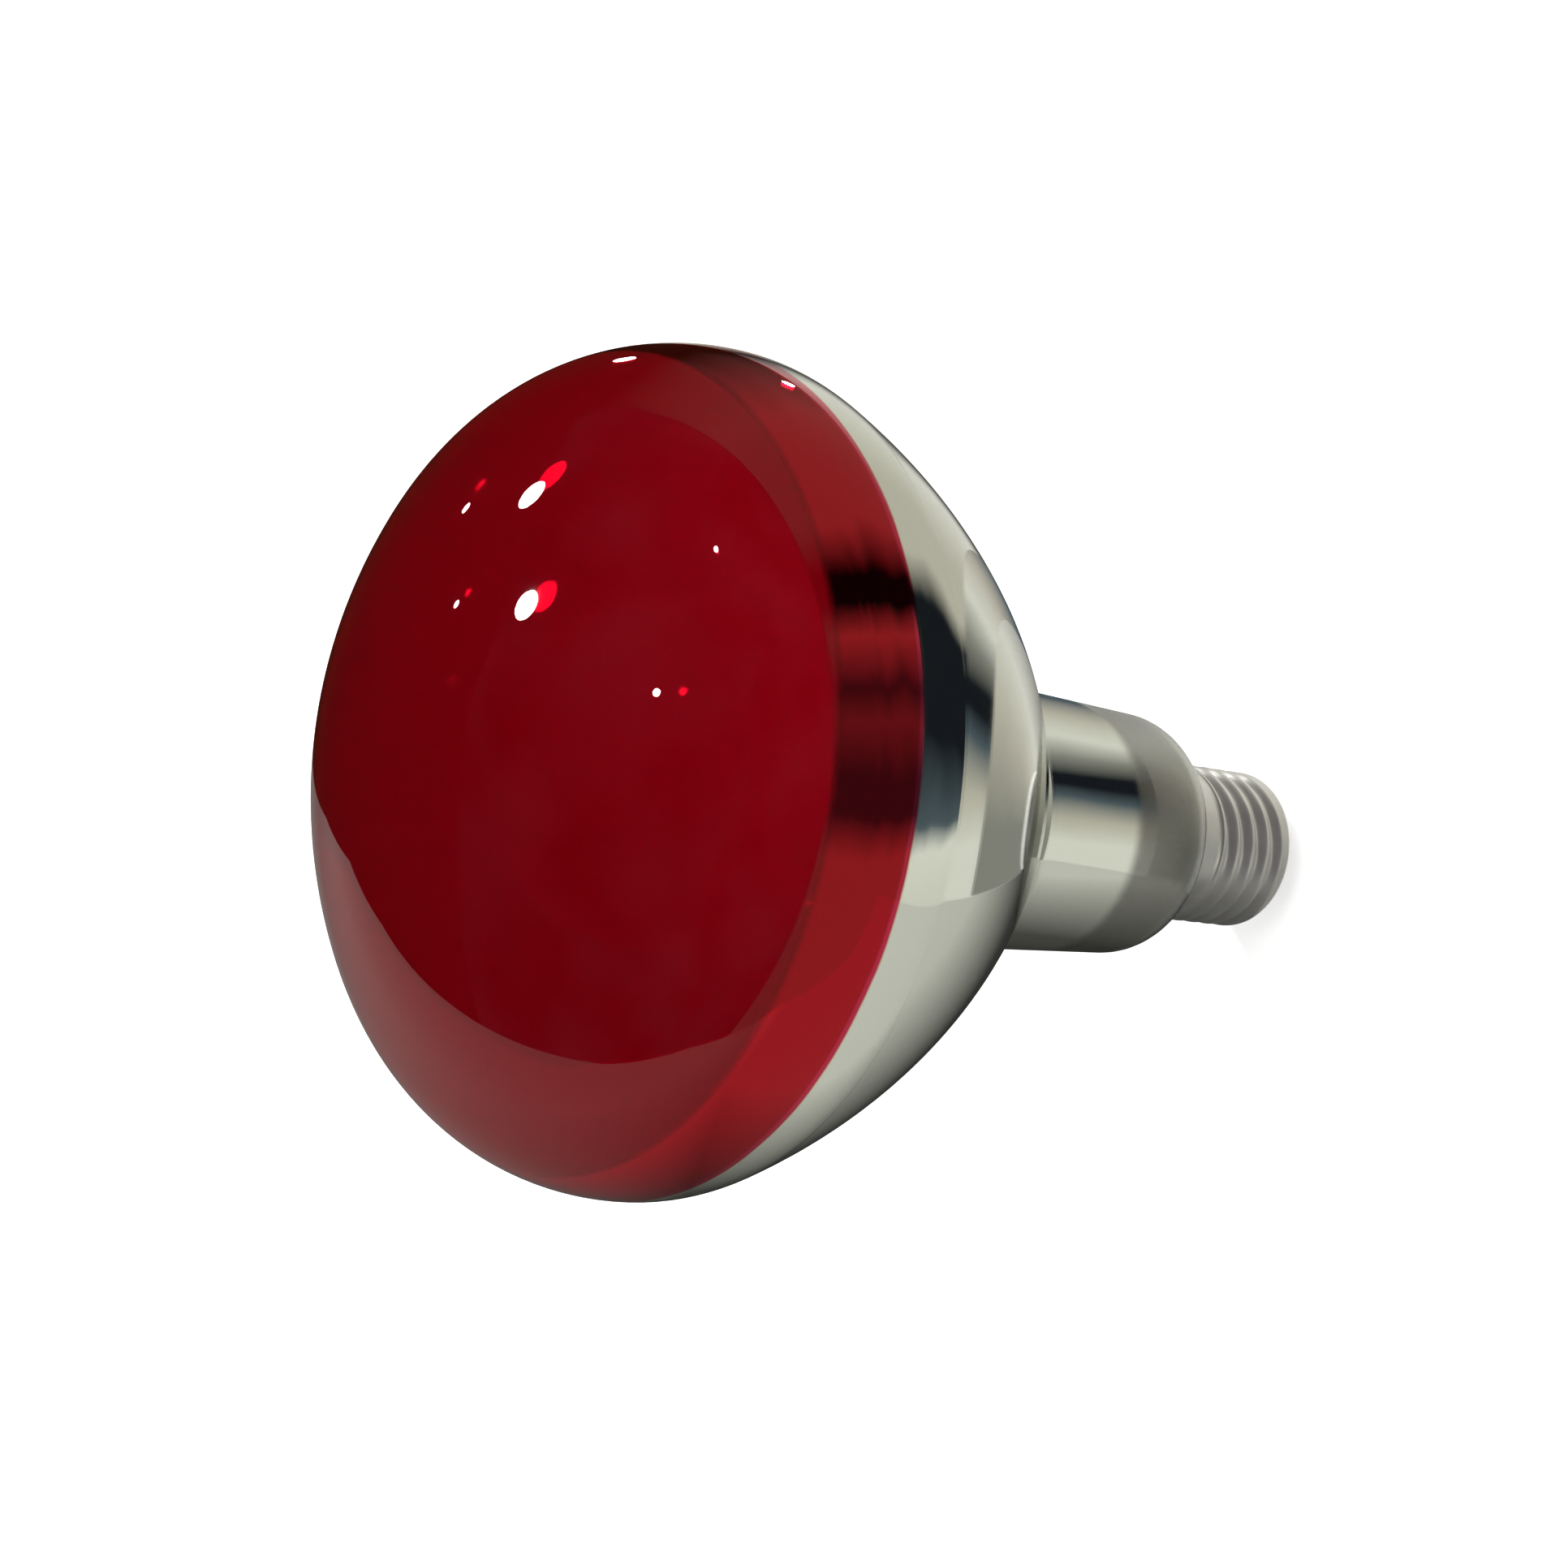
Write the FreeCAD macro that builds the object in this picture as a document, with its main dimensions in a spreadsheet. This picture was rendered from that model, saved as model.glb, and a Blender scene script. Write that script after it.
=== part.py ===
"""Infrared reflector lamp: a blown glass bulb on a screw cap, with its filament mount inside.

Millimetres. Z runs along the lamp's axis, from the tip of the centre contact (z = 0) to the lens.
"""
import FreeCAD, Part
import math
import os

import Sketcher

Vector = FreeCAD.Vector
UP = Vector(0, 0, 1)
# Sketch elements: the two axes, the start of the flat one being the origin, and the points of a curve.
UPRIGHT_AXIS, FLAT_AXIS = range(-2, 0)
ORIGIN = FLAT_AXIS
START, END, CENTRE = range(1, 4)
FULL_TURN, HALF_TURN, QUARTER_TURN = 360, 180, 90
SUPPORT_COUNT = 4
# A bent wire leans half-way between upright and flat, so it rises as far as it moves across.
WIRE_LEAN = 45

# Driving sizes, each set by itself. Angles are in degrees, the rest in millimetres.
SIZES = {
    # Screw cap
    "shell_diameter": 26.3,
    "shell_height": 23.4,
    "shell_wall": 0.35,
    "shell_corner": 1.6,
    "shell_lip_diameter": 21.0,
    "collar_step": 0.25,
    "collar_height": 6.2,
    "insulator_height": 4.6,
    "insulator_depth": 2.4,
    "insulator_hole": 2.4,
    "contact_diameter": 10.6,
    "contact_thickness": 0.7,
    "solder_diameter": 5.2,
    "solder_land": 2.4,
    "solder_height": 0.8,
    "side_solder_diameter": 3.0,
    "side_solder_drop": 2.8,
    # Glass bulb
    "bulb_diameter": 125.0,
    "front_radius": 82.0,
    "rim_radius": 31.5,
    "shoulder_radius": 21.3,
    "shoulder_turn": 20.0,
    "reflector_radius": 111.5,
    "neck_fillet": 9.0,
    "neck_diameter": 42.6,
    "neck_length": 32.0,
    "neck_taper": 2.5,
    "heel_radius": 8.3,
    "throat_fillet": 2.4,
    "throat_diameter": 21.8,
    "throat_length": 12.0,
    "glass_wall": 0.9,
    "lens_wall": 1.8,
    "rim_gap": 0.5,
    # Glass stem
    "stem_diameter": 12.0,
    "stem_wall": 1.1,
    "stem_length": 30.0,
    "press_taper": 7.0,
    "press_height": 9.0,
    "press_flat": 11.5,
    "press_thickness": 4.4,
    "exhaust_diameter": 4.0,
    "exhaust_wall": 0.8,
    "exhaust_drop": 3.0,
    "arbor_diameter": 3.6,
    "arbor_seat": 4.0,
    "arbor_length": 12.0,
    "button_diameter": 7.0,
    "button_height": 3.0,
    # Wires, filament and deflector
    "lead_spacing": 8.0,
    "lead_diameter": 0.9,
    "lead_rise": 2.5,
    "lead_bend": 2.0,
    "lead_overrun": 1.5,
    "outer_lead_diameter": 0.6,
    "outer_lead_bend": 0.8,
    "outer_lead_clearance": 0.8,
    "outer_lead_reach": 0.4,
    "side_lead_gap": 0.13,
    "ring_diameter": 26.0,
    "ring_gap": 80.0,
    "coil_diameter": 1.6,
    "filament_rise": 9.0,
    "support_diameter": 0.6,
    "support_bend": 1.5,
    "support_seat": 1.2,
    "eye_clearance": 0.05,
    "deflector_diameter": 32.0,
    "deflector_thickness": 0.4,
    "hole_clearance": 0.2,
    "mount_turn": 90.0,
}

# Stations worked out from the driving sizes: *_r is a distance from the axis, *_z a height.
STATIONS = {
    "contact_r": "Sizes.contact_diameter / 2",
    "contact_z": "Sizes.solder_height + Sizes.contact_thickness",
    "solder_r": "Sizes.solder_diameter / 2",
    "land_r": "Sizes.solder_land / 2",
    "solder_round": "((solder_r - land_r) ^ 2 + Sizes.solder_height ^ 2) / (2 * Sizes.solder_height)",
    "shell_r": "Sizes.shell_diameter / 2",
    "lip_r": "Sizes.shell_lip_diameter / 2",
    "shell_z": "contact_z + Sizes.insulator_height",
    "rim_z": "shell_z + Sizes.shell_height",
    "collar_r": "shell_r - Sizes.collar_step",
    "collar_z": "rim_z - Sizes.collar_height",
    "collar_step_z": "collar_z + Sizes.collar_step",
    "plug_z": "shell_z + Sizes.shell_wall + Sizes.insulator_depth",
    # Bulb: centres of the tangent arcs, found from the cap upwards
    "bulb_r": "Sizes.bulb_diameter / 2",
    "throat_r": "Sizes.throat_diameter / 2",
    "fillet_r": "Sizes.neck_diameter / 2 + Sizes.neck_fillet",
    "neck_foot_r": "fillet_r - Sizes.neck_fillet * cos(Sizes.neck_taper)"
                   " - Sizes.neck_length * tan(Sizes.neck_taper)",
    "heel_r": "neck_foot_r - Sizes.heel_radius * cos(Sizes.neck_taper)",
    "throat_arc_r": "throat_r + Sizes.throat_fillet",
    "heel_angle": "acos((throat_arc_r - heel_r) / (Sizes.heel_radius + Sizes.throat_fillet))",
    "throat_z": "rim_z + Sizes.rim_gap - Sizes.throat_fillet * sin(heel_angle)",
    "seal_z": "throat_z - Sizes.throat_length",
    "heel_z": "rim_z + Sizes.rim_gap + Sizes.heel_radius * sin(heel_angle)",
    "fillet_z": "heel_z - (Sizes.heel_radius + Sizes.neck_fillet) * sin(Sizes.neck_taper)"
                " + Sizes.neck_length",
    "reflector_r": "bulb_r - Sizes.shoulder_radius"
                   " - (Sizes.reflector_radius - Sizes.shoulder_radius) * cos(Sizes.shoulder_turn)",
    "fillet_angle": "acos((fillet_r - reflector_r) / (Sizes.reflector_radius + Sizes.neck_fillet))",
    "widest_z": "fillet_z + (Sizes.reflector_radius + Sizes.neck_fillet) * sin(fillet_angle)"
                " - (Sizes.reflector_radius - Sizes.shoulder_radius) * sin(Sizes.shoulder_turn)",
    "front_angle": "asin((bulb_r - Sizes.rim_radius) / (Sizes.front_radius - Sizes.rim_radius))",
    "front_z": "widest_z - (Sizes.front_radius - Sizes.rim_radius) * cos(front_angle)",
    # Inside of the lens: flatter than its outside, as the glass gathers at the front when it is blown
    "rim_r": "bulb_r - Sizes.rim_radius",
    "rim_inside": "Sizes.rim_radius - Sizes.glass_wall",
    "lens_rise": "front_z + Sizes.front_radius - Sizes.lens_wall - widest_z",
    "lens_radius": "(rim_r ^ 2 + lens_rise ^ 2 - rim_inside ^ 2) / (2 * (lens_rise - rim_inside))",
    "lens_angle": "asin(rim_r / (lens_radius - rim_inside))",
    "lens_z": "widest_z + lens_rise - lens_radius",
    # Stem and filament mount
    "stem_r": "Sizes.stem_diameter / 2",
    "flare_round": "throat_r - Sizes.glass_wall - stem_r",
    "bore_z": "seal_z + Sizes.stem_length",
    "press_z": "bore_z + Sizes.press_taper + Sizes.press_height",
    "exhaust_r": "Sizes.exhaust_diameter / 2",
    "exhaust_z": "seal_z - Sizes.exhaust_drop",
    "arbor_r": "Sizes.arbor_diameter / 2",
    "button_r": "Sizes.button_diameter / 2",
    "button_z": "press_z + Sizes.arbor_length",
    "button_middle_z": "button_z + Sizes.button_height / 2",
    "filament_z": "button_middle_z + Sizes.filament_rise",
    "ring_r": "Sizes.ring_diameter / 2",
    "post_x": "ring_r * sin(Sizes.ring_gap / 2)",
    "post_y": "-ring_r * cos(Sizes.ring_gap / 2)",
    "post_angle": "asin(Sizes.lead_diameter / 2 / ring_r) / (1 deg)",
    "eye_r": "(Sizes.coil_diameter + Sizes.support_diameter) / 2 + Sizes.eye_clearance",
    # Wire routes
    "lead_x": "Sizes.lead_spacing / 2",
    "lead_lean": "sqrt((post_x - lead_x) ^ 2 + post_y ^ 2)",
    "lead_heading": "atan2(post_y; post_x - lead_x) / (1 deg)",
    "lead_lean_z": "press_z + Sizes.lead_rise",
    "outer_r": "Sizes.outer_lead_diameter / 2",
    "dodge_z": "exhaust_z + exhaust_r + lead_x"
               " - sqrt(2) * (exhaust_r + outer_r + Sizes.outer_lead_clearance)",
    "run_z": "seal_z - Sizes.stem_wall - Sizes.outer_lead_clearance - outer_r",
    "side_r": "throat_r + outer_r + Sizes.side_lead_gap",
    "side_z": "rim_z - Sizes.side_solder_drop",
}

# Heading of the filament's first end, where the ring's gap stops.
RING_START = f"Sizes.mount_turn - {QUARTER_TURN} + Sizes.ring_gap / 2"

doc = FreeCAD.newDocument("infrared_lamp")


def fill_sheet(name, cells, sign):
    """Make a sheet with one named cell for each entry."""
    sheet = doc.addObject("Spreadsheet::Sheet", name)
    for row, (alias, content) in enumerate(cells.items(), start=1):
        sheet.set(f"A{row}", alias)
        sheet.set(f"B{row}", f"{sign}{content}")
        sheet.setAlias(f"B{row}", alias)
    doc.recompute()
    return sheet


sizes = fill_sheet("Sizes", SIZES, "")
fill_sheet("Stations", STATIONS, "=")


def number(text):
    """Value of an expression in the sheets' names."""
    value = sizes.evalExpression(text)
    return float(getattr(value, "Value", value))


def new_body(name):
    return doc.addObject("PartDesign::Body", name)


def datum(body, role):
    """One of the body's own origin planes or axes."""
    return next(item for item in body.Origin.OriginFeatures if item.Role == role)


def new_sketch(body, name, role, lift=None):
    """An empty sketch on an origin plane of its body, moved along the plane's normal by lift."""
    sketch = body.newObject("Sketcher::SketchObject", name)
    sketch.AttachmentSupport = [(datum(body, role), "")]
    sketch.MapMode = "FlatFace"
    if lift:
        sketch.setExpression("AttachmentOffset.Base.z", lift)
    return sketch


def bind(sketch, kind, elements, text, name):
    """Add a constraint whose value follows an expression."""
    index = sketch.addConstraint(Sketcher.Constraint(kind, *elements, number(text)))
    sketch.renameConstraint(index, name)
    sketch.setExpression(f"Constraints.{name}", text)


def hold_point(sketch, element, point, place, name):
    """Hold a point of the sketch at a place given by two expressions."""
    for kind, axis, text in (("DistanceX", UPRIGHT_AXIS, place[0]), ("DistanceY", FLAT_AXIS, place[1])):
        if text == "0":
            sketch.addConstraint(Sketcher.Constraint("PointOnObject", element, point, axis))
        else:
            bind(sketch, kind, (ORIGIN, START, element, point), text, f"{name}_{kind}")


def arc_between(first, last, radius, side):
    """Short arc between two points. Its centre lies left of the walk for side 1, right for side -1."""
    chord = last - first
    rise = math.sqrt(max(radius ** 2 - chord.Length ** 2 / 4, 0.0))
    centre = (first + last) / 2 + side * rise * Vector(-chord.y, chord.x, 0).normalize()
    begin, finish = (first, last) if side > 0 else (last, first)
    angles = [math.atan2(point.y - centre.y, point.x - centre.x) for point in (begin, finish)]
    return Part.ArcOfCircle(Part.Circle(centre, UP, radius), *angles)


def draw_outline(sketch, corners, rounds, closed=True):
    """Draw lines and arcs from corner to corner.

    corners holds pairs of expressions. rounds maps the index of a corner to the radius of the arc
    that leaves it and the side on which the arc's centre lies.
    """
    places = [Vector(number(across), number(along), 0) for across, along in corners]
    count = len(corners) if closed else len(corners) - 1
    ends = []
    for index in range(count):
        first = places[index]
        last = places[(index + 1) % len(places)]
        if index in rounds:
            radius, side = rounds[index]
            element = sketch.addGeometry(arc_between(first, last, number(radius), side))
            bind(sketch, "Radius", (element,), radius, f"radius_{index}")
            ends.append((START, END) if side > 0 else (END, START))
        else:
            sketch.addGeometry(Part.LineSegment(first, last))
            ends.append((START, END))
    for index in range(count):
        following = (index + 1) % count
        if closed or following:
            joint = (index, ends[index][1], following, ends[following][0])
            sketch.addConstraint(Sketcher.Constraint("Coincident", *joint))
        hold_point(sketch, index, ends[index][0], corners[index], f"corner_{index}")
    if not closed:
        hold_point(sketch, count - 1, ends[-1][1], corners[-1], f"corner_{count}")


def draw_circle(sketch, diameter, place=("0", "0"), name="circle"):
    centre = Vector(number(place[0]), number(place[1]), 0)
    element = sketch.addGeometry(Part.Circle(centre, UP, number(diameter) / 2))
    bind(sketch, "Diameter", (element,), diameter, f"{name}_diameter")
    hold_point(sketch, element, CENTRE, place, f"{name}_centre")


def turn_profile(body, corners, rounds):
    """Revolve a closed profile, drawn in the XZ plane, about the lamp's axis."""
    sketch = new_sketch(body, f"{body.Name}_profile", "XZ_Plane")
    draw_outline(sketch, corners, rounds)
    solid = body.newObject("PartDesign::Revolution", f"{body.Name}_solid")
    solid.Profile = sketch
    solid.ReferenceAxis = (datum(body, "Z_Axis"), [""])
    doc.recompute()
    return solid


def pad_sketch(body, sketch, length):
    solid = body.newObject("PartDesign::Pad", f"{sketch.Name}_pad")
    solid.Profile = sketch
    solid.setExpression("Length", length)
    doc.recompute()
    return solid


def bend_wire(body, diameter, corners, rounds, plane, start, lift):
    """Sweep a round wire along a route in the XZ plane, from a section drawn on plane."""
    route = new_sketch(body, f"{body.Name}_route", "XZ_Plane")
    draw_outline(route, corners, rounds, closed=False)
    section = new_sketch(body, f"{body.Name}_section", plane, lift)
    draw_circle(section, diameter, start)
    wire = body.newObject("PartDesign::AdditivePipe", f"{body.Name}_wire")
    wire.Profile = section
    wire.Spine = route
    doc.recompute()
    return wire


def turn_about_axis(item, angle, across="0"):
    """Turn an object about the lamp's axis, after moving it across to its own side of the axis."""
    item.Placement = FreeCAD.Placement(Vector(), FreeCAD.Rotation(UP, number(angle)))
    item.setExpression("Placement.Rotation.Angle", angle)
    if across != "0":
        item.setExpression("Placement.Base.x", f"({across}) * cos(Sizes.mount_turn)")
        item.setExpression("Placement.Base.y", f"({across}) * sin(Sizes.mount_turn)")
    doc.recompute()


def cut_out(name, base, tools):
    """Take the room of other pieces out of a blank, so that they meet it face to face."""
    tool = tools[0]
    if len(tools) > 1:
        tool = doc.addObject("Part::MultiFuse", f"{name}_room")
        tool.Shapes = tools
    piece = doc.addObject("Part::Cut", name)
    piece.Base = base
    piece.Tool = tool
    doc.recompute()
    return piece


def glass_wall(inset, front, front_z, front_angle):
    """Corners and arcs of one side of the bulb's wall, from the lens to the seal.

    The lens has its own radius, centre and angle. The rest lies inset from the outer skin.
    """
    shoulder = f"(Sizes.shoulder_radius - {inset})"
    fillet = f"(Sizes.neck_fillet + {inset})"
    heel = f"(Sizes.heel_radius - {inset})"
    throat = f"(Sizes.throat_fillet + {inset})"
    corners = [
        ("0", f"{front_z} + {front}"),
        (f"{front} * sin({front_angle})", f"{front_z} + {front} * cos({front_angle})"),
        (f"Stations.bulb_r - {inset}", "Stations.widest_z"),
        (f"Stations.bulb_r - Sizes.shoulder_radius + {shoulder} * cos(Sizes.shoulder_turn)",
         f"Stations.widest_z - {shoulder} * sin(Sizes.shoulder_turn)"),
        (f"Stations.fillet_r - {fillet} * cos(Stations.fillet_angle)",
         f"Stations.fillet_z + {fillet} * sin(Stations.fillet_angle)"),
        (f"Stations.fillet_r - {fillet} * cos(Sizes.neck_taper)",
         f"Stations.fillet_z + {fillet} * sin(Sizes.neck_taper)"),
        (f"Stations.heel_r + {heel} * cos(Sizes.neck_taper)",
         f"Stations.heel_z - {heel} * sin(Sizes.neck_taper)"),
        (f"Stations.throat_arc_r - {throat} * cos(Stations.heel_angle)",
         f"Stations.throat_z + {throat} * sin(Stations.heel_angle)"),
        (f"Stations.throat_r - {inset}", "Stations.throat_z"),
        (f"Stations.throat_r - {inset}", "Stations.seal_z"),
    ]
    arcs = [
        (front, -1),
        (f"Sizes.rim_radius - {inset}", -1),
        (shoulder, -1),
        (f"Sizes.reflector_radius - {inset}", -1),
        (fillet, 1),
        None,
        (heel, -1),
        (throat, 1),
        None,
    ]
    return corners, arcs


def make_envelope():
    """Blown bulb: a chain of tangent arcs outside, and one a wall inside that is thickest at the lens."""
    outer, outer_arcs = glass_wall("0", "Sizes.front_radius", "Stations.front_z", "Stations.front_angle")
    inside_lens = ("Stations.lens_radius", "Stations.lens_z", "Stations.lens_angle")
    inner, inner_arcs = glass_wall("Sizes.glass_wall", *inside_lens)
    way_back = [arc and (arc[0], -arc[1]) for arc in reversed(inner_arcs)]
    steps = outer_arcs + [None] + way_back
    rounds = {index: arc for index, arc in enumerate(steps) if arc}
    body = new_body("glass_envelope")
    turn_profile(body, outer + inner[::-1], rounds)
    return body


def four_corners(across, along):
    """Corners of a rectangle about the sketch's origin, walked leftwards from the upper right."""
    left = f"-({across})"
    low = f"-({along})"
    return [(across, along), (left, along), (left, low), (across, low)]


def make_stem_blank():
    """Flared tube that seals the bulb, flattened at its top into the press."""
    body = new_body("stem_blank")
    bore = "Stations.stem_r - Sizes.stem_wall"
    flare_r = "Stations.stem_r + Stations.flare_round"
    flare_z = "Stations.seal_z + Stations.flare_round"
    lip_z = "Stations.seal_z - Sizes.stem_wall"
    corners = [
        ("Stations.throat_r", "Stations.seal_z"),
        (flare_r, "Stations.seal_z"),
        ("Stations.stem_r", flare_z),
        ("Stations.stem_r", "Stations.bore_z"),
        (bore, "Stations.bore_z"),
        (bore, flare_z),
        (flare_r, lip_z),
        ("Stations.throat_r", lip_z),
    ]
    rounds = {1: ("Stations.flare_round", -1), 5: ("Stations.flare_round + Sizes.stem_wall", 1)}
    turn_profile(body, corners, rounds)

    quarter = "Stations.stem_r / sqrt(2)"
    flat = "Sizes.press_flat / 2"
    half = "Sizes.press_thickness / 2"
    edge = "Sizes.press_thickness / sqrt(2)"
    tube_end = new_sketch(body, "tube_end", "XY_Plane", "Stations.bore_z")
    draw_outline(tube_end, four_corners(quarter, quarter), {i: ("Stations.stem_r", 1) for i in range(4)})
    press_foot = new_sketch(body, "press_foot", "XY_Plane", "Stations.bore_z + Sizes.press_taper")
    draw_outline(press_foot, four_corners(flat, half), {1: (edge, 1), 3: (edge, 1)})
    taper = body.newObject("PartDesign::AdditiveLoft", "press_taper")
    taper.Profile = tube_end
    taper.Sections = [press_foot]
    doc.recompute()
    press = new_sketch(body, "press", "XY_Plane", "Stations.bore_z + Sizes.press_taper")
    draw_outline(press, four_corners(flat, half), {1: (edge, 1), 3: (edge, 1)})
    pad_sketch(body, press, "Sizes.press_height")
    turn_about_axis(body, "Sizes.mount_turn")
    return body


def make_exhaust_tube():
    """Pumping tube, melted shut in a round tip below the stem."""
    body = new_body("exhaust_tube")
    inner = "Stations.exhaust_r - Sizes.exhaust_wall"
    round_z = "Stations.exhaust_z + Stations.exhaust_r"
    corners = [
        ("0", "Stations.exhaust_z"),
        ("Stations.exhaust_r", round_z),
        ("Stations.exhaust_r", "Stations.bore_z"),
        (inner, "Stations.bore_z"),
        (inner, round_z),
        ("0", "Stations.exhaust_z + Sizes.exhaust_wall"),
    ]
    rounds = {0: ("Stations.exhaust_r", 1), 4: (inner, -1)}
    turn_profile(body, corners, rounds)
    return body


def make_arbor_blank():
    """Glass rod that rises from the press to a flattened button."""
    body = new_body("arbor_blank")
    round_r = "Stations.button_r - Sizes.button_height / 2"
    top_z = "Stations.button_z + Sizes.button_height"
    half = "Sizes.button_height / 2"
    foot_z = "Stations.press_z - Sizes.arbor_seat"
    corners = [
        ("0", foot_z),
        ("Stations.arbor_r", foot_z),
        ("Stations.arbor_r", "Stations.button_z"),
        (round_r, "Stations.button_z"),
        ("Stations.button_r", "Stations.button_middle_z"),
        (round_r, top_z),
        ("0", top_z),
    ]
    turn_profile(body, corners, {3: (half, 1), 4: (half, 1)})
    return body


def make_seal_wire(name, side):
    """Wire fused into the press, from its foot to its top."""
    body = new_body(name)
    section = new_sketch(body, f"{name}_section", "XY_Plane", "Stations.bore_z")
    draw_circle(section, "Sizes.lead_diameter")
    pad_sketch(body, section, "Sizes.press_taper + Sizes.press_height")
    turn_about_axis(body, "Sizes.mount_turn", f"{side} * Stations.lead_x")
    return body


def make_inner_lead(name, side, heading):
    """Lead that leans outwards from the press to one end of the filament."""
    body = new_body(name)
    trim = f"Sizes.lead_bend * tan({WIRE_LEAN} / 2)"
    shift = f"{trim} * cos({WIRE_LEAN})"
    corners = [
        ("0", "Stations.press_z"),
        ("0", f"Stations.lead_lean_z - {trim}"),
        (shift, f"Stations.lead_lean_z + {shift}"),
        (f"Stations.lead_lean - {shift}", f"Stations.lead_lean_z + Stations.lead_lean - {shift}"),
        ("Stations.lead_lean", f"Stations.lead_lean_z + Stations.lead_lean + {trim}"),
        ("Stations.lead_lean", "Stations.filament_z + Sizes.lead_overrun"),
    ]
    rounds = {1: ("Sizes.lead_bend", -1), 3: ("Sizes.lead_bend", 1)}
    bend_wire(body, "Sizes.lead_diameter", corners, rounds, "XY_Plane", ("0", "0"), "Stations.press_z")
    turn_about_axis(body, f"Sizes.mount_turn + {heading}", f"{side} * Stations.lead_x")
    return body


def make_contact_lead():
    """Wire from the press, round the tip of the exhaust tube, to the centre contact."""
    body = new_body("outer_lead_contact")
    trim = f"Sizes.outer_lead_bend * tan({WIRE_LEAN} / 2)"
    shift = f"{trim} * cos({WIRE_LEAN})"
    axis_z = "Stations.dodge_z - Stations.lead_x"
    corners = [
        ("Stations.lead_x", "Stations.bore_z"),
        ("Stations.lead_x", f"Stations.dodge_z + {trim}"),
        (f"Stations.lead_x - {shift}", f"Stations.dodge_z - {shift}"),
        (shift, f"{axis_z} + {shift}"),
        ("0", f"{axis_z} - {trim}"),
        ("0", "Sizes.solder_height / 2"),
    ]
    rounds = {1: ("Sizes.outer_lead_bend", -1), 3: ("Sizes.outer_lead_bend", 1)}
    start = ("Stations.lead_x", "0")
    bend_wire(body, "Sizes.outer_lead_diameter", corners, rounds, "XY_Plane", start, "Stations.bore_z")
    turn_about_axis(body, f"Sizes.mount_turn + {HALF_TURN}")
    return body


def make_shell_lead():
    """Wire from the press, under the flare and up beside the glass, out through the collar."""
    body = new_body("outer_lead_shell")
    bend = "Sizes.outer_lead_bend"
    corners = [
        ("Stations.lead_x", "Stations.bore_z"),
        ("Stations.lead_x", f"Stations.run_z + {bend}"),
        (f"Stations.lead_x + {bend}", "Stations.run_z"),
        (f"Stations.side_r - {bend}", "Stations.run_z"),
        ("Stations.side_r", f"Stations.run_z + {bend}"),
        ("Stations.side_r", f"Stations.side_z - {bend}"),
        (f"Stations.side_r + {bend}", "Stations.side_z"),
        ("Stations.collar_r + Sizes.outer_lead_reach", "Stations.side_z"),
    ]
    rounds = {1: (bend, 1), 3: (bend, 1), 5: (bend, -1)}
    start = ("Stations.lead_x", "0")
    bend_wire(body, "Sizes.outer_lead_diameter", corners, rounds, "XY_Plane", start, "Stations.bore_z")
    turn_about_axis(body, "Sizes.mount_turn")
    return body


def make_filament():
    """Coiled tungsten wire, drawn as the tube that its coil fills, between the tips of the leads."""
    body = new_body("filament_coil")
    section = new_sketch(body, "coil_section", "XZ_Plane")
    draw_circle(section, "Sizes.coil_diameter", ("Stations.ring_r", "Stations.filament_z"))
    ring = body.newObject("PartDesign::Revolution", "coil_ring")
    ring.Profile = section
    ring.ReferenceAxis = (datum(body, "Z_Axis"), [""])
    ring.setExpression("Angle", f"{FULL_TURN} - Sizes.ring_gap - 2 * Stations.post_angle")
    turn_about_axis(body, f"{RING_START} + Stations.post_angle")
    return body


def make_support(index):
    """Wire hook, set in the button, whose eye carries the filament."""
    body = new_body(f"support_wire_{index}")
    seat_r = "Stations.button_r - Sizes.support_seat"
    corners = [
        (seat_r, "Stations.button_middle_z"),
        ("Stations.ring_r - Sizes.support_bend", "Stations.button_middle_z"),
        ("Stations.ring_r", "Stations.button_middle_z + Sizes.support_bend"),
        ("Stations.ring_r", "Stations.filament_z - Stations.eye_r"),
    ]
    start = ("0", "Stations.button_middle_z")
    bend = {1: ("Sizes.support_bend", 1)}
    bend_wire(body, "Sizes.support_diameter", corners, bend, "YZ_Plane", start, seat_r)
    eye = body.newObject("PartDesign::AdditiveTorus", f"eye_{index}")
    eye.AttachmentSupport = [(datum(body, "XZ_Plane"), "")]
    eye.MapMode = "FlatFace"
    eye.setExpression("AttachmentOffset.Base.x", "Stations.ring_r")
    eye.setExpression("AttachmentOffset.Base.y", "Stations.filament_z")
    eye.setExpression("Radius1", "Stations.eye_r")
    eye.setExpression("Radius2", "Sizes.support_diameter / 2")
    step = f"({FULL_TURN} - Sizes.ring_gap) * {index} / {SUPPORT_COUNT + 1}"
    turn_about_axis(body, f"{RING_START} + {step}")
    return body


def make_deflector():
    """Disc on top of the press, with holes for the rod and the two leads."""
    body = new_body("heat_deflector")
    sketch = new_sketch(body, "deflector_disc", "XY_Plane", "Stations.press_z")
    draw_circle(sketch, "Sizes.deflector_diameter", name="edge")
    draw_circle(sketch, "Sizes.arbor_diameter + Sizes.hole_clearance", name="rod_hole")
    lead_hole = "Sizes.lead_diameter + Sizes.hole_clearance"
    draw_circle(sketch, lead_hole, ("Stations.lead_x", "0"), "lead_hole_a")
    draw_circle(sketch, lead_hole, ("-Stations.lead_x", "0"), "lead_hole_b")
    pad_sketch(body, sketch, "Sizes.deflector_thickness")
    turn_about_axis(body, "Sizes.mount_turn")
    return body


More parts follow.
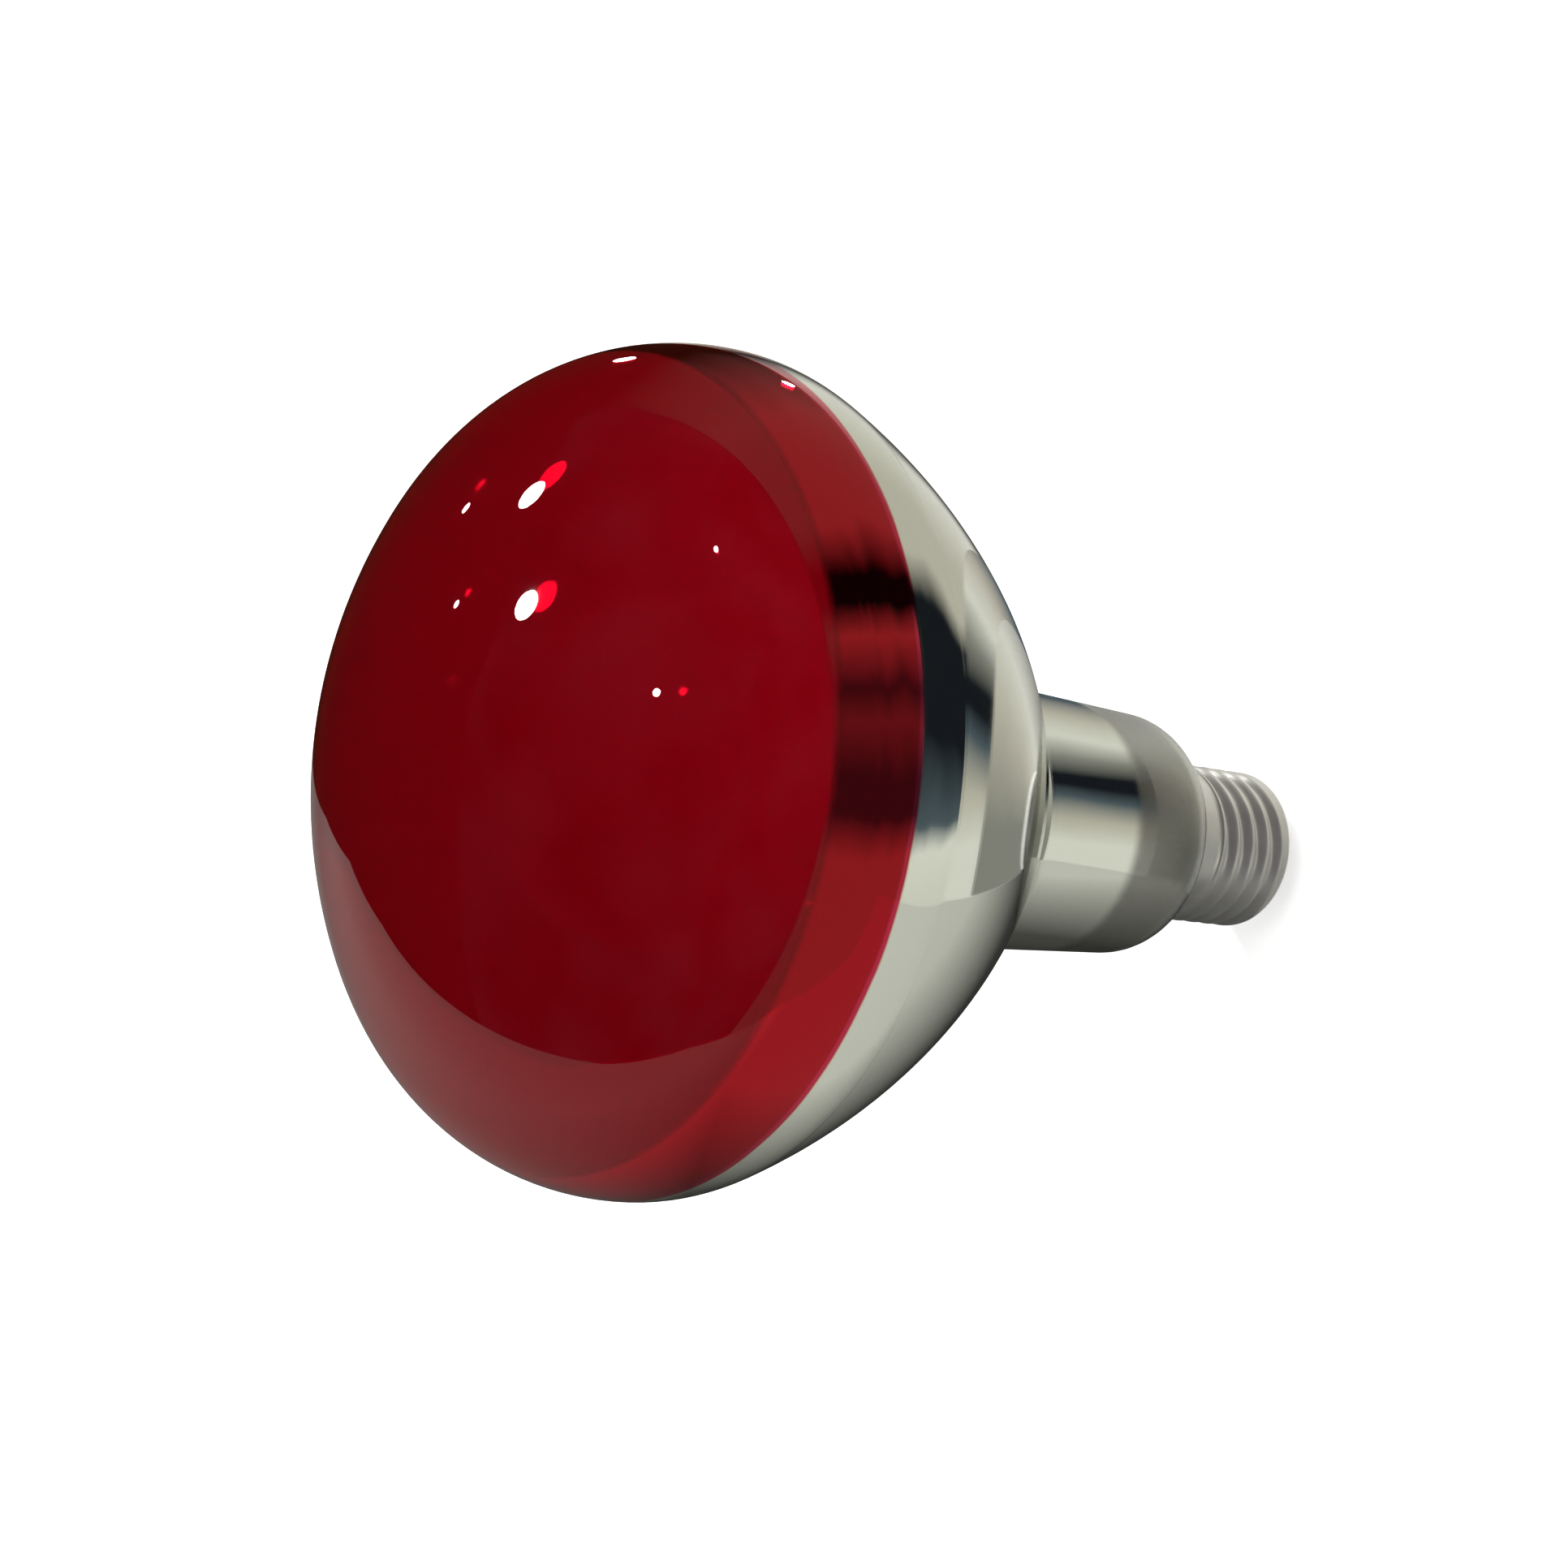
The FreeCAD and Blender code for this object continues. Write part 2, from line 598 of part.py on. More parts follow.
def make_shell_blank():
    """Sheet-metal cap: plain collar, screw band at its full diameter, and a lip turned in below."""
    body = new_body("shell_blank")
    inner = "Stations.shell_r - Sizes.shell_wall"
    collar_inner = "Stations.collar_r - Sizes.shell_wall"
    corner_r = "Stations.shell_r - Sizes.shell_corner"
    corner_z = "Stations.shell_z + Sizes.shell_corner"
    lip_top = "Stations.shell_z + Sizes.shell_wall"
    corners = [
        ("Stations.lip_r", "Stations.shell_z"),
        (corner_r, "Stations.shell_z"),
        ("Stations.shell_r", corner_z),
        ("Stations.shell_r", "Stations.collar_z"),
        ("Stations.collar_r", "Stations.collar_step_z"),
        ("Stations.collar_r", "Stations.rim_z"),
        (collar_inner, "Stations.rim_z"),
        (collar_inner, "Stations.collar_step_z"),
        (inner, "Stations.collar_z"),
        (inner, corner_z),
        (corner_r, lip_top),
        ("Stations.lip_r", lip_top),
    ]
    rounds = {1: ("Sizes.shell_corner", 1), 9: ("Sizes.shell_corner - Sizes.shell_wall", -1)}
    turn_profile(body, corners, rounds)
    return body


def make_insulator():
    """Glass plug cast into the lip of the cap, coned down to the centre contact."""
    body = new_body("insulator")
    hole = "Sizes.insulator_hole / 2"
    flange = "Stations.shell_r - Sizes.shell_corner"
    lip_top = "Stations.shell_z + Sizes.shell_wall"
    corners = [
        (hole, "Stations.contact_z"),
        ("Stations.contact_r", "Stations.contact_z"),
        ("Stations.lip_r", "Stations.shell_z"),
        ("Stations.lip_r", lip_top),
        (flange, lip_top),
        (flange, "Stations.plug_z"),
        (hole, "Stations.plug_z"),
    ]
    turn_profile(body, corners, {})
    return body


def make_contact():
    """Brass plate with a rounded edge and a hole for the wire."""
    body = new_body("centre_contact")
    hole = "(Sizes.outer_lead_diameter + Sizes.hole_clearance) / 2"
    edge = "Stations.contact_r - Sizes.contact_thickness"
    corners = [
        (hole, "Sizes.solder_height"),
        (edge, "Sizes.solder_height"),
        ("Stations.contact_r", "Stations.contact_z"),
        (hole, "Stations.contact_z"),
    ]
    turn_profile(body, corners, {1: ("Sizes.contact_thickness", 1)})
    return body


def make_solder_blank():
    """Solder dome under the contact, dressed flat where it meets the lamp holder."""
    body = new_body("solder_blank")
    corners = [
        ("0", "0"),
        ("Stations.land_r", "0"),
        ("Stations.solder_r", "Sizes.solder_height"),
        ("0", "Sizes.solder_height"),
    ]
    turn_profile(body, corners, {1: ("Stations.solder_round", 1)})
    return body


def make_cement_blank():
    """Ring of cement between the throat of the bulb and the collar of the cap."""
    body = new_body("cement_blank")
    inner = "Stations.collar_r - Sizes.shell_wall"
    corners = [
        ("Stations.throat_r", "Stations.collar_step_z"),
        (inner, "Stations.collar_step_z"),
        (inner, "Stations.throat_z"),
        ("Stations.throat_r", "Stations.throat_z"),
    ]
    turn_profile(body, corners, {})
    return body


def make_side_solder(lead):
    """Drop of solder on the collar, over the end of the side wire."""
    body = new_body("side_drop")
    drop = body.newObject("PartDesign::AdditiveSphere", "side_ball")
    drop.AttachmentSupport = [(datum(body, "YZ_Plane"), "")]
    drop.MapMode = "FlatFace"
    drop.setExpression("AttachmentOffset.Base.y", "Stations.side_z")
    drop.setExpression("AttachmentOffset.Base.z", "Stations.collar_r")
    drop.setExpression("Radius", "Sizes.side_solder_diameter / 2")
    turn_about_axis(body, "Sizes.mount_turn")
    core = doc.addObject("Part::Cylinder", "collar_core")
    core.setExpression("Radius", "Stations.collar_r")
    core.setExpression("Height", "Stations.rim_z")
    return cut_out("rim_solder", body, [core, lead])


def build():
    """Every sub-part of the lamp, by its node's name."""
    seal_a = make_seal_wire("seal_wire_a", "1")
    seal_b = make_seal_wire("seal_wire_b", "-1")
    arbor = make_arbor_blank()
    contact_lead = make_contact_lead()
    shell_lead = make_shell_lead()
    supports = [make_support(index) for index in range(1, SUPPORT_COUNT + 1)]
    pieces = [
        make_envelope(),
        cut_out("screw_shell", make_shell_blank(), [shell_lead]),
        make_insulator(),
        make_contact(),
        cut_out("contact_solder", make_solder_blank(), [contact_lead]),
        make_side_solder(shell_lead),
        cut_out("basing_cement", make_cement_blank(), [shell_lead]),
        cut_out("stem_flare", make_stem_blank(), [seal_a, seal_b, arbor]),
        make_exhaust_tube(),
        cut_out("arbor_rod", arbor, supports),
        seal_a,
        seal_b,
        make_inner_lead("inner_lead_a", "1", "Stations.lead_heading"),
        make_inner_lead("inner_lead_b", "-1", f"{HALF_TURN} - Stations.lead_heading"),
        contact_lead,
        shell_lead,
        make_filament(),
        make_deflector(),
    ]
    doc.recompute()
    return {piece.Label: piece for piece in pieces + supports}


def check(pieces):
    """Stop before anything is written if an object failed or a piece isn't one sound solid."""
    failed = [item.Name for item in doc.Objects if {"Invalid", "Error"} & set(item.State)]
    for name, piece in pieces.items():
        shape = piece.Shape
        if shape.isNull() or not shape.isValid() or len(shape.Solids) != 1:
            failed.append(name)
    if failed:
        raise RuntimeError("failed: " + ", ".join(failed))


lamp = build()
check(lamp)
os.makedirs("parts", exist_ok=True)
for node, item in lamp.items():
    item.Shape.exportStep(f"parts/{node}.step")
    print(f"{node}: {item.Shape.Volume:.2f} mm3")
print(f"overall length {number('Stations.front_z + Sizes.front_radius'):.2f} mm")
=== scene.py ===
# %% [markdown]
# # Infrared heat lamp bulb
# This lesson dresses the solids of a reflector heat lamp: a blown glass bulb on a screw cap. The solids
# come packed in one frame, with Z along the lamp's axis, from the tip of the contact (z = 0) up to the
# lens. Three pieces get a finer shape here: the glass with its mirror and red lacquer, the cap with its
# rolled thread, and the wound filament. The other solids are right as they are and get a material each.

# %% Load the frame
import math

import bmesh
import bpy
from mathutils import Matrix, Vector


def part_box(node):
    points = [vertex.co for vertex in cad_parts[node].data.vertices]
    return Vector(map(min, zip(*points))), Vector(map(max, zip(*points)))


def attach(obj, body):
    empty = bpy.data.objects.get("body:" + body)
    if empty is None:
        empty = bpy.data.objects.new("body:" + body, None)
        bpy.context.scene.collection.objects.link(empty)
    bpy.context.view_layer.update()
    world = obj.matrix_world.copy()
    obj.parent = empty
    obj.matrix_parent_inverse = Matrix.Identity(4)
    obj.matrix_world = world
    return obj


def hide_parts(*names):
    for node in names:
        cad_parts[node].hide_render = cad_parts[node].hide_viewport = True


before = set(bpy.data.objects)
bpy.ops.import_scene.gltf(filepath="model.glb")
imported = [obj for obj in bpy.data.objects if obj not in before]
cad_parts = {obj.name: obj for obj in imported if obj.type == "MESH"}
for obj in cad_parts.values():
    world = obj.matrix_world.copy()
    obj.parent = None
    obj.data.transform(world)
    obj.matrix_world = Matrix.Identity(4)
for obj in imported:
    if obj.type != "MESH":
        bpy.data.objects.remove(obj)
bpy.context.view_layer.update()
MM = 0.001

# %% [markdown]
# ## Camera
# The view is the usual one of a lamp lying on its side, so the camera is rolled: the lamp's axis runs
# across the picture, with the lens on the left. The place and the turn were found by matching the round
# outline of the bulb and the pitch of the thread, which also fixes the focal length. A short tele lens
# at under half a metre gives the bulb its strong foreshortening.

# %% Place the camera
CAMERA_PLACE = (0.0, -373.589, 414.662)
CAMERA_TURN = (9.19582, 49.93070, -78.18241)
FOCAL_LENGTH = 73.484
SENSOR_WIDTH = 36.0

camera_data = bpy.data.cameras.new("camera")
camera_data.lens = FOCAL_LENGTH
camera_data.sensor_width = SENSOR_WIDTH
camera_data.clip_start = 0.01
camera = bpy.data.objects.new("camera", camera_data)
camera.location = Vector(CAMERA_PLACE) * MM
camera.rotation_euler = [math.radians(angle) for angle in CAMERA_TURN]
bpy.context.scene.collection.objects.link(camera)
bpy.context.scene.camera = camera
print("camera", round(camera.location.length, 3), "m from the contact")

# %% [markdown]
# ## Small helpers
# A turned piece starts as one point. Spinning the point about the centre of an arc draws that arc, so a
# chain of spins draws an outline of tangent arcs, as a drawing office would give it. One more spin about
# the lamp's axis makes the surface. The same few functions serve the glass and the cap.

# %% Outline and piece helpers
AXIS = (0, 0, 1)
ACROSS = (0, 1, 0)
FULL_TURN = math.tau
TURN_STEPS = 192
MERGE_DISTANCE = 0.001


def at(radius, height):
    """A point of the XZ plane, from millimetres."""
    return Vector((radius * MM, 0, height * MM))


def add_arc(mesh, tip, centre, angle, steps):
    """Spin the end of an outline about an arc's centre, and return the new end."""
    turn = math.radians(angle)
    made = bmesh.ops.spin(mesh, geom=[tip], cent=at(*centre), axis=ACROSS, angle=turn, steps=steps)
    return next(item for item in made["geom_last"] if isinstance(item, bmesh.types.BMVert))


def add_run(mesh, tip, end, steps=1):
    """Draw a straight run from the end of an outline, in equal steps, and return the new end."""
    start = tip.co.copy()
    for step in range(1, steps + 1):
        tip = bmesh.ops.extrude_vert_indiv(mesh, verts=[tip])["verts"][0]
        tip.co = start.lerp(at(*end), step / steps)
    return tip


def turn_outline(mesh, steps):
    """Spin the whole outline about the lamp's axis, and close the seam and the pole."""
    outline = mesh.verts[:] + mesh.edges[:]
    bmesh.ops.spin(
        mesh, geom=outline, cent=(0, 0, 0), axis=AXIS, angle=FULL_TURN, steps=steps, use_merge=True)
    bmesh.ops.remove_doubles(mesh, verts=mesh.verts, dist=MERGE_DISTANCE * MM)
    bmesh.ops.recalc_face_normals(mesh, faces=mesh.faces)


def sin(degrees):
    return math.sin(math.radians(degrees))


def cos(degrees):
    return math.cos(math.radians(degrees))


def make_piece(name, mesh, node):
    """Turn a bmesh into a smooth object that stands for a node of the frame."""
    data = bpy.data.meshes.new(name)
    mesh.to_mesh(data)
    mesh.free()
    data.shade_smooth()
    piece = bpy.data.objects.new(name, data)
    bpy.context.scene.collection.objects.link(piece)
    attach(piece, "root")
    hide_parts(node)
    print(name, len(data.vertices), "points,", len(data.polygons), "faces")
    return piece


# %% [markdown]
# ## Glass bulb
# The real bulb is blown into a mould, so its outline is a chain of arcs that run into each other with no
# corner: flat dome, tight rim, bell-shaped back, neck, and a heel that turns in to the cap. It could be a
# few rings under a Subdivision Surface, but that only comes near the true arcs. Spinning one point about
# each arc's centre follows them exactly. The inner side of the wall shares those centres, apart from the
# lens, where the glass gathers when it is blown: its inside is flatter, so the wall is thickest there.

# %% Work out the arcs of the bulb
BULB_RADIUS = 62.5
FRONT_RADIUS = 82.0
RIM_RADIUS = 31.5
SHOULDER_RADIUS = 21.3
SHOULDER_TURN = 20.0
REFLECTOR_RADIUS = 111.5
NECK_FILLET = 9.0
NECK_RADIUS = 21.3
NECK_LENGTH = 32.0
NECK_TAPER = 2.5
HEEL_RADIUS = 8.3
THROAT_FILLET = 2.4
THROAT_RADIUS = 10.9
THROAT_LENGTH = 12.0
GLASS_WALL = 0.9
LENS_WALL = 1.8
COLLAR_TOP = 29.5
RIM_GAP = 0.5

fillet_r = NECK_RADIUS + NECK_FILLET
neck_foot_r = fillet_r - NECK_FILLET * cos(NECK_TAPER) - NECK_LENGTH * math.tan(math.radians(NECK_TAPER))
heel_r = neck_foot_r - HEEL_RADIUS * cos(NECK_TAPER)
throat_arc_r = THROAT_RADIUS + THROAT_FILLET
heel_angle = math.degrees(math.acos((throat_arc_r - heel_r) / (HEEL_RADIUS + THROAT_FILLET)))
throat_z = COLLAR_TOP + RIM_GAP - THROAT_FILLET * sin(heel_angle)
heel_z = COLLAR_TOP + RIM_GAP + HEEL_RADIUS * sin(heel_angle)
fillet_z = heel_z - (HEEL_RADIUS + NECK_FILLET) * sin(NECK_TAPER) + NECK_LENGTH
reflector_r = BULB_RADIUS - SHOULDER_RADIUS - (REFLECTOR_RADIUS - SHOULDER_RADIUS) * cos(SHOULDER_TURN)
fillet_angle = math.degrees(math.acos((fillet_r - reflector_r) / (REFLECTOR_RADIUS + NECK_FILLET)))
reflector_z = fillet_z + (REFLECTOR_RADIUS + NECK_FILLET) * sin(fillet_angle)
widest_z = reflector_z - (REFLECTOR_RADIUS - SHOULDER_RADIUS) * sin(SHOULDER_TURN)
rim_r = BULB_RADIUS - RIM_RADIUS
front_angle = math.degrees(math.asin(rim_r / (FRONT_RADIUS - RIM_RADIUS)))
front_z = widest_z - (FRONT_RADIUS - RIM_RADIUS) * cos(front_angle)
rim_inside = RIM_RADIUS - GLASS_WALL
lens_rise = front_z + FRONT_RADIUS - LENS_WALL - widest_z
lens_radius = (rim_r ** 2 + lens_rise ** 2 - rim_inside ** 2) / (2 * (lens_rise - rim_inside))
lens_angle = math.degrees(math.asin(rim_r / (lens_radius - rim_inside)))
lens_z = widest_z + lens_rise - lens_radius
print("widest circle at", round(widest_z, 2), "lens at", round(front_z + FRONT_RADIUS, 2), "mm")


# %% Spin the bulb's outlines and surface
# How many steps each arc takes, enough to look round from close by.
LENS_STEPS = 30
RIM_STEPS = 24
SHOULDER_STEPS = 8
REFLECTOR_STEPS = 30
FILLET_STEPS = 12
NECK_STEPS = 12
HEEL_STEPS = 12
THROAT_STEPS = 6
BULB_MIDDLE = 90.0


def draw_wall(mesh, inset, lens, lens_height, angle):
    """Draw one side of the wall from the lens to the seal, and return its end."""
    tip = mesh.verts.new(at(0, lens_height + lens))
    tip = add_arc(mesh, tip, (0, lens_height), angle, LENS_STEPS)
    tip = add_arc(mesh, tip, (rim_r, widest_z), 90 - angle, RIM_STEPS)
    tip = add_arc(mesh, tip, (BULB_RADIUS - SHOULDER_RADIUS, widest_z), SHOULDER_TURN, SHOULDER_STEPS)
    bell_turn = fillet_angle - SHOULDER_TURN
    tip = add_arc(mesh, tip, (reflector_r, reflector_z), bell_turn, REFLECTOR_STEPS)
    tip = add_arc(mesh, tip, (fillet_r, fillet_z), NECK_TAPER - fillet_angle, FILLET_STEPS)
    heel = HEEL_RADIUS - inset
    neck_foot = (heel_r + heel * cos(NECK_TAPER), heel_z - heel * sin(NECK_TAPER))
    tip = add_run(mesh, tip, neck_foot, NECK_STEPS)
    tip = add_arc(mesh, tip, (heel_r, heel_z), heel_angle - NECK_TAPER, HEEL_STEPS)
    tip = add_arc(mesh, tip, (throat_arc_r, throat_z), -heel_angle, THROAT_STEPS)
    return add_run(mesh, tip, (THROAT_RADIUS - inset, throat_z - THROAT_LENGTH))


glass = bmesh.new()
outer_end = draw_wall(glass, 0, FRONT_RADIUS, front_z, front_angle)
inner_end = draw_wall(glass, GLASS_WALL, lens_radius, lens_z, lens_angle)
glass.edges.new((outer_end, inner_end))
turn_outline(glass, TURN_STEPS)
# The faces that look into the bulb take the second material slot, because the mirror lies inside.
bulb_middle = at(0, BULB_MIDDLE)
for face in glass.faces:
    face.material_index = int(face.normal.dot(face.calc_center_median() - bulb_middle) < 0)
bulb = make_piece("bulb_glass", glass, "glass_envelope")

# %% [markdown]
# ## Screw cap
# The cap is thin brass, drawn into a cup and rolled between two formers that press the thread into it, so
# the groove shows inside as well. A helical sweep would leave open ends that have to be stitched to the
# plain collar. Here the cup is spun with many rings first, and each ring's points are then pressed in by
# a wave that climbs one pitch a turn, which is what the rolling does. The wave fades out at both ends.

# %% Spin the cup and roll its thread
CAP_RADIUS = 13.15
CAP_BOTTOM = 6.1
CAP_CORNER = 1.6
CAP_LIP_RADIUS = 10.5
CAP_WALL = 0.35
COLLAR_RADIUS = 12.9
COLLAR_BOTTOM = 23.3
THREAD_PITCH = 3.629
THREAD_DEPTH = 1.05
THREAD_START = 0.645
THREAD_FADE = 1.7
THREAD_RINGS = 120
CORNER_STEPS = 8
STEP_RINGS = 2
COLLAR_RINGS = 6
BAND_BOTTOM = CAP_BOTTOM + CAP_CORNER

cap_mesh = bmesh.new()
tip = cap_mesh.verts.new(at(CAP_LIP_RADIUS, CAP_BOTTOM))
tip = add_run(cap_mesh, tip, (CAP_RADIUS - CAP_CORNER, CAP_BOTTOM))
tip = add_arc(cap_mesh, tip, (CAP_RADIUS - CAP_CORNER, BAND_BOTTOM), -90, CORNER_STEPS)
tip = add_run(cap_mesh, tip, (CAP_RADIUS, COLLAR_BOTTOM), THREAD_RINGS)
collar_foot = (COLLAR_RADIUS, COLLAR_BOTTOM + CAP_RADIUS - COLLAR_RADIUS)
tip = add_run(cap_mesh, tip, collar_foot, STEP_RINGS)
add_run(cap_mesh, tip, (COLLAR_RADIUS, COLLAR_TOP), COLLAR_RINGS)
turn_outline(cap_mesh, TURN_STEPS)


def thread_press(turn, height):
    """How far the roller presses the metal in at a heading and a height, in millimetres."""
    wave = 0.5 - 0.5 * math.cos(FULL_TURN * (height / THREAD_PITCH - THREAD_START) - turn)
    into_band = min(height - BAND_BOTTOM, COLLAR_BOTTOM - height) / THREAD_FADE
    fade = min(max(into_band, 0.0), 1.0)
    return THREAD_DEPTH * wave * fade * fade * (3 - 2 * fade)


for point in cap_mesh.verts:
    pressed = thread_press(math.atan2(point.co.y, point.co.x), point.co.z / MM) * MM
    outwards = Vector((point.co.x, point.co.y, 0)).normalized()
    point.co -= outwards * pressed
bmesh.ops.recalc_face_normals(cap_mesh, faces=cap_mesh.faces)
cap = make_piece("cap_shell", cap_mesh, "screw_shell")
sheet = cap.modifiers.new("sheet_metal", "SOLIDIFY")
sheet.thickness = CAP_WALL * MM
sheet.offset = -1

# %% [markdown]
# ## Filament
# Tungsten wire is wound on a thin rod into a close coil, and the coil is then hung in a ring between the
# two leads. The model does the same: a small circle is spun about a straight rod with a rise at each step,
# and every point is then carried from the straight rod onto the ring. The ends touch the leads.

# %% Wind the coil and bend it to the ring
RING_RADIUS = 13.0
COIL_RADIUS = 0.8
WIRE_RADIUS = 0.13
COIL_PITCH = 0.55
STEPS_A_TURN = 12
WIRE_SIDES = 6
LEAD_DIAMETER = 0.9
MOUNT_TURN = 90.0
RING_GAP = 80.0
filament_z = sum(corner.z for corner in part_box("filament_coil")) / 2 / MM

lead_angle = math.asin(LEAD_DIAMETER / 2 / RING_RADIUS)
ring_start = math.radians(MOUNT_TURN - 90 + RING_GAP / 2) + lead_angle
ring_sweep = math.radians(360 - RING_GAP) - 2 * lead_angle
coil_length = RING_RADIUS * ring_sweep - 2 * WIRE_RADIUS
turns = round(coil_length / COIL_PITCH)

coil_mesh = bmesh.new()
upright = Matrix.Rotation(math.pi / 2, 4, "X")
wire_place = Matrix.Translation(((COIL_RADIUS - WIRE_RADIUS) * MM, 0, WIRE_RADIUS * MM)) @ upright
bmesh.ops.create_circle(
    coil_mesh, cap_ends=True, radius=WIRE_RADIUS * MM, segments=WIRE_SIDES, matrix=wire_place)
section = coil_mesh.faces[:] + coil_mesh.edges[:] + coil_mesh.verts[:]
coil_steps = turns * STEPS_A_TURN
rise = (0, 0, coil_length / coil_steps * MM)
bmesh.ops.spin(
    coil_mesh, geom=section, cent=(0, 0, 0), axis=AXIS, dvec=rise, angle=FULL_TURN * turns,
    steps=coil_steps)
for point in coil_mesh.verts:
    heading = ring_start + point.co.z / (RING_RADIUS * MM)
    reach = RING_RADIUS * MM + point.co.x
    point.co = (reach * math.cos(heading), reach * math.sin(heading), filament_z * MM + point.co.y)
bmesh.ops.recalc_face_normals(coil_mesh, faces=coil_mesh.faces)
filament = make_piece("filament_winding", coil_mesh, "filament_coil")
print(turns, "turns of wire on", round(coil_length, 1), "mm")

# %% [markdown]
# ## Materials
# Every finish is a small node tree on a Principled shader. Colours are written as the eye knows them, in
# sRGB hex, and turned to linear light once. Patterns read Object coordinates, which are metres here, so a
# pattern's scale is one over its real size in metres. A value that is the same all over goes straight on
# the shader's own socket.

# %% Colour, node and material helpers
# A Mix node has sockets for every kind of value; these are the ones for colours.
MIX_A = 6
MIX_B = 7
MIX_RESULT = 2


def colour(code):
    """Linear RGBA from an sRGB hex code."""
    channels = [int(code[start:start + 2], 16) / 255 for start in (1, 3, 5)]
    return [c / 12.92 if c <= 0.04045 else ((c + 0.055) / 1.055) ** 2.4 for c in channels] + [1.0]


def add_node(tree, kind, settings, inputs):
    """Add a node, set its options, and set or link its inputs."""
    node = tree.nodes.new(kind)
    for name, value in settings.items():
        setattr(node, name, value)
    for name, value in inputs.items():
        if isinstance(value, bpy.types.NodeSocket):
            tree.links.new(value, node.inputs[name])
        else:
            node.inputs[name].default_value = value
    return node


def new_material(name):
    """A material with its tree, its Principled shader and a node of Object coordinates."""
    material = bpy.data.materials.new(name)
    material.use_nodes = True
    tree = material.node_tree
    shader = tree.nodes["Principled BSDF"]
    place = add_node(tree, "ShaderNodeTexCoord", {}, {}).outputs["Object"]
    return material, tree, shader, place


def per_mm(size):
    """Scale of a pattern whose features are that many millimetres wide."""
    return 1 / (size * MM)


# %% [markdown]
# ## Red lacquer and clear glass
# The outer skin is soda-lime glass, fire-polished and so quite smooth. Its front is dipped in a clear red
# lacquer that ends in a crisp, slightly wavy line just above the widest circle, thinner and more orange in
# the last fraction of a millimetre. The colour changes with the height, so the lacquer line is a ramp on
# the Z coordinate, shaken a little by noise. A faint film of dust and rubbing varies the roughness.

# %% Make the outer skin's glass
LACQUER_EDGE = 135.7
LACQUER_FADE = 0.35
LACQUER_WAVE = 0.5
WAVE_WIDTH = 14
RUBBING_WIDTH = 9
RUBBING_RANGE = (0.45, 0.8)
RUBBED_ROUGHNESS = 0.05
ORANGE_PLACE = 0.45
GLASS_IOR = 1.5

lacquered_glass, tree, shader, place = new_material("blown_glass_red_lacquer")
height = add_node(tree, "ShaderNodeSeparateXYZ", {}, {0: place}).outputs["Z"]
waver = add_node(tree, "ShaderNodeTexNoise", {}, {
    "Vector": place, "Scale": per_mm(WAVE_WIDTH), "Detail": 3.0}).outputs["Fac"]
shaken = add_node(tree, "ShaderNodeMath", {"operation": "MULTIPLY_ADD"}, {
    0: waver, 1: LACQUER_WAVE * MM, 2: height})
edge = add_node(tree, "ShaderNodeMapRange", {}, {
    "Value": shaken.outputs[0], "From Min": (LACQUER_EDGE - LACQUER_FADE / 2) * MM,
    "From Max": (LACQUER_EDGE + LACQUER_FADE / 2) * MM})
# Clear glass gives the eye the mirror behind it; red lacquer gives the deep glow of the lens.
film = add_node(tree, "ShaderNodeValToRGB", {}, {"Fac": edge.outputs[0]})
film.color_ramp.elements[0].color = colour("#F6FAF6")
film.color_ramp.elements[1].color = colour("#C2031C")
film.color_ramp.elements.new(ORANGE_PLACE).color = colour("#E8B48C")
rubbing = add_node(tree, "ShaderNodeTexNoise", {}, {
    "Vector": place, "Scale": per_mm(RUBBING_WIDTH), "Detail": 6.0})
dulling = add_node(tree, "ShaderNodeMapRange", {}, {
    "Value": rubbing.outputs["Fac"], "From Min": RUBBING_RANGE[0], "From Max": RUBBING_RANGE[1],
    "To Min": 0.0, "To Max": RUBBED_ROUGHNESS})
tree.links.new(film.outputs["Color"], shader.inputs["Base Color"])
tree.links.new(dulling.outputs[0], shader.inputs["Roughness"])
shader.inputs["Transmission Weight"].default_value = 1.0
shader.inputs["IOR"].default_value = GLASS_IOR
print(lacquered_glass.name)

# %% [markdown]
# ## Mirror
# The back of the bulb is silvered inside with aluminium vapour, so the eye sees a mirror through clear
# glass, with a second, fainter reflection from the glass itself. The mirror ends in front in a clean line
# under the lacquer, and the window in front of it is frosted inside, so that the lens glows evenly and
# hides the filament. At the neck the mirror thins to a smoky film that lets some light through. The
# height decides where each zone lies: Metallic follows the mirror, and Transmission drops in the frosting.

# %% Make the inner skin's mirror
MIRROR_FRONT = 147.0
MIRROR_BACK = 50.4
MIRROR_FRONT_FADE = 1.2
MIRROR_BACK_FADE = 3.2
HEEL_FILM = 0.6
HEEL_HAZE = 0.15
WINDOW_CLEARNESS = 0.12
HAZE_WIDTH = 20
HAZE_RANGE = (0.4, 0.75)
HAZE_ROUGHNESS = (0.01, 0.05)

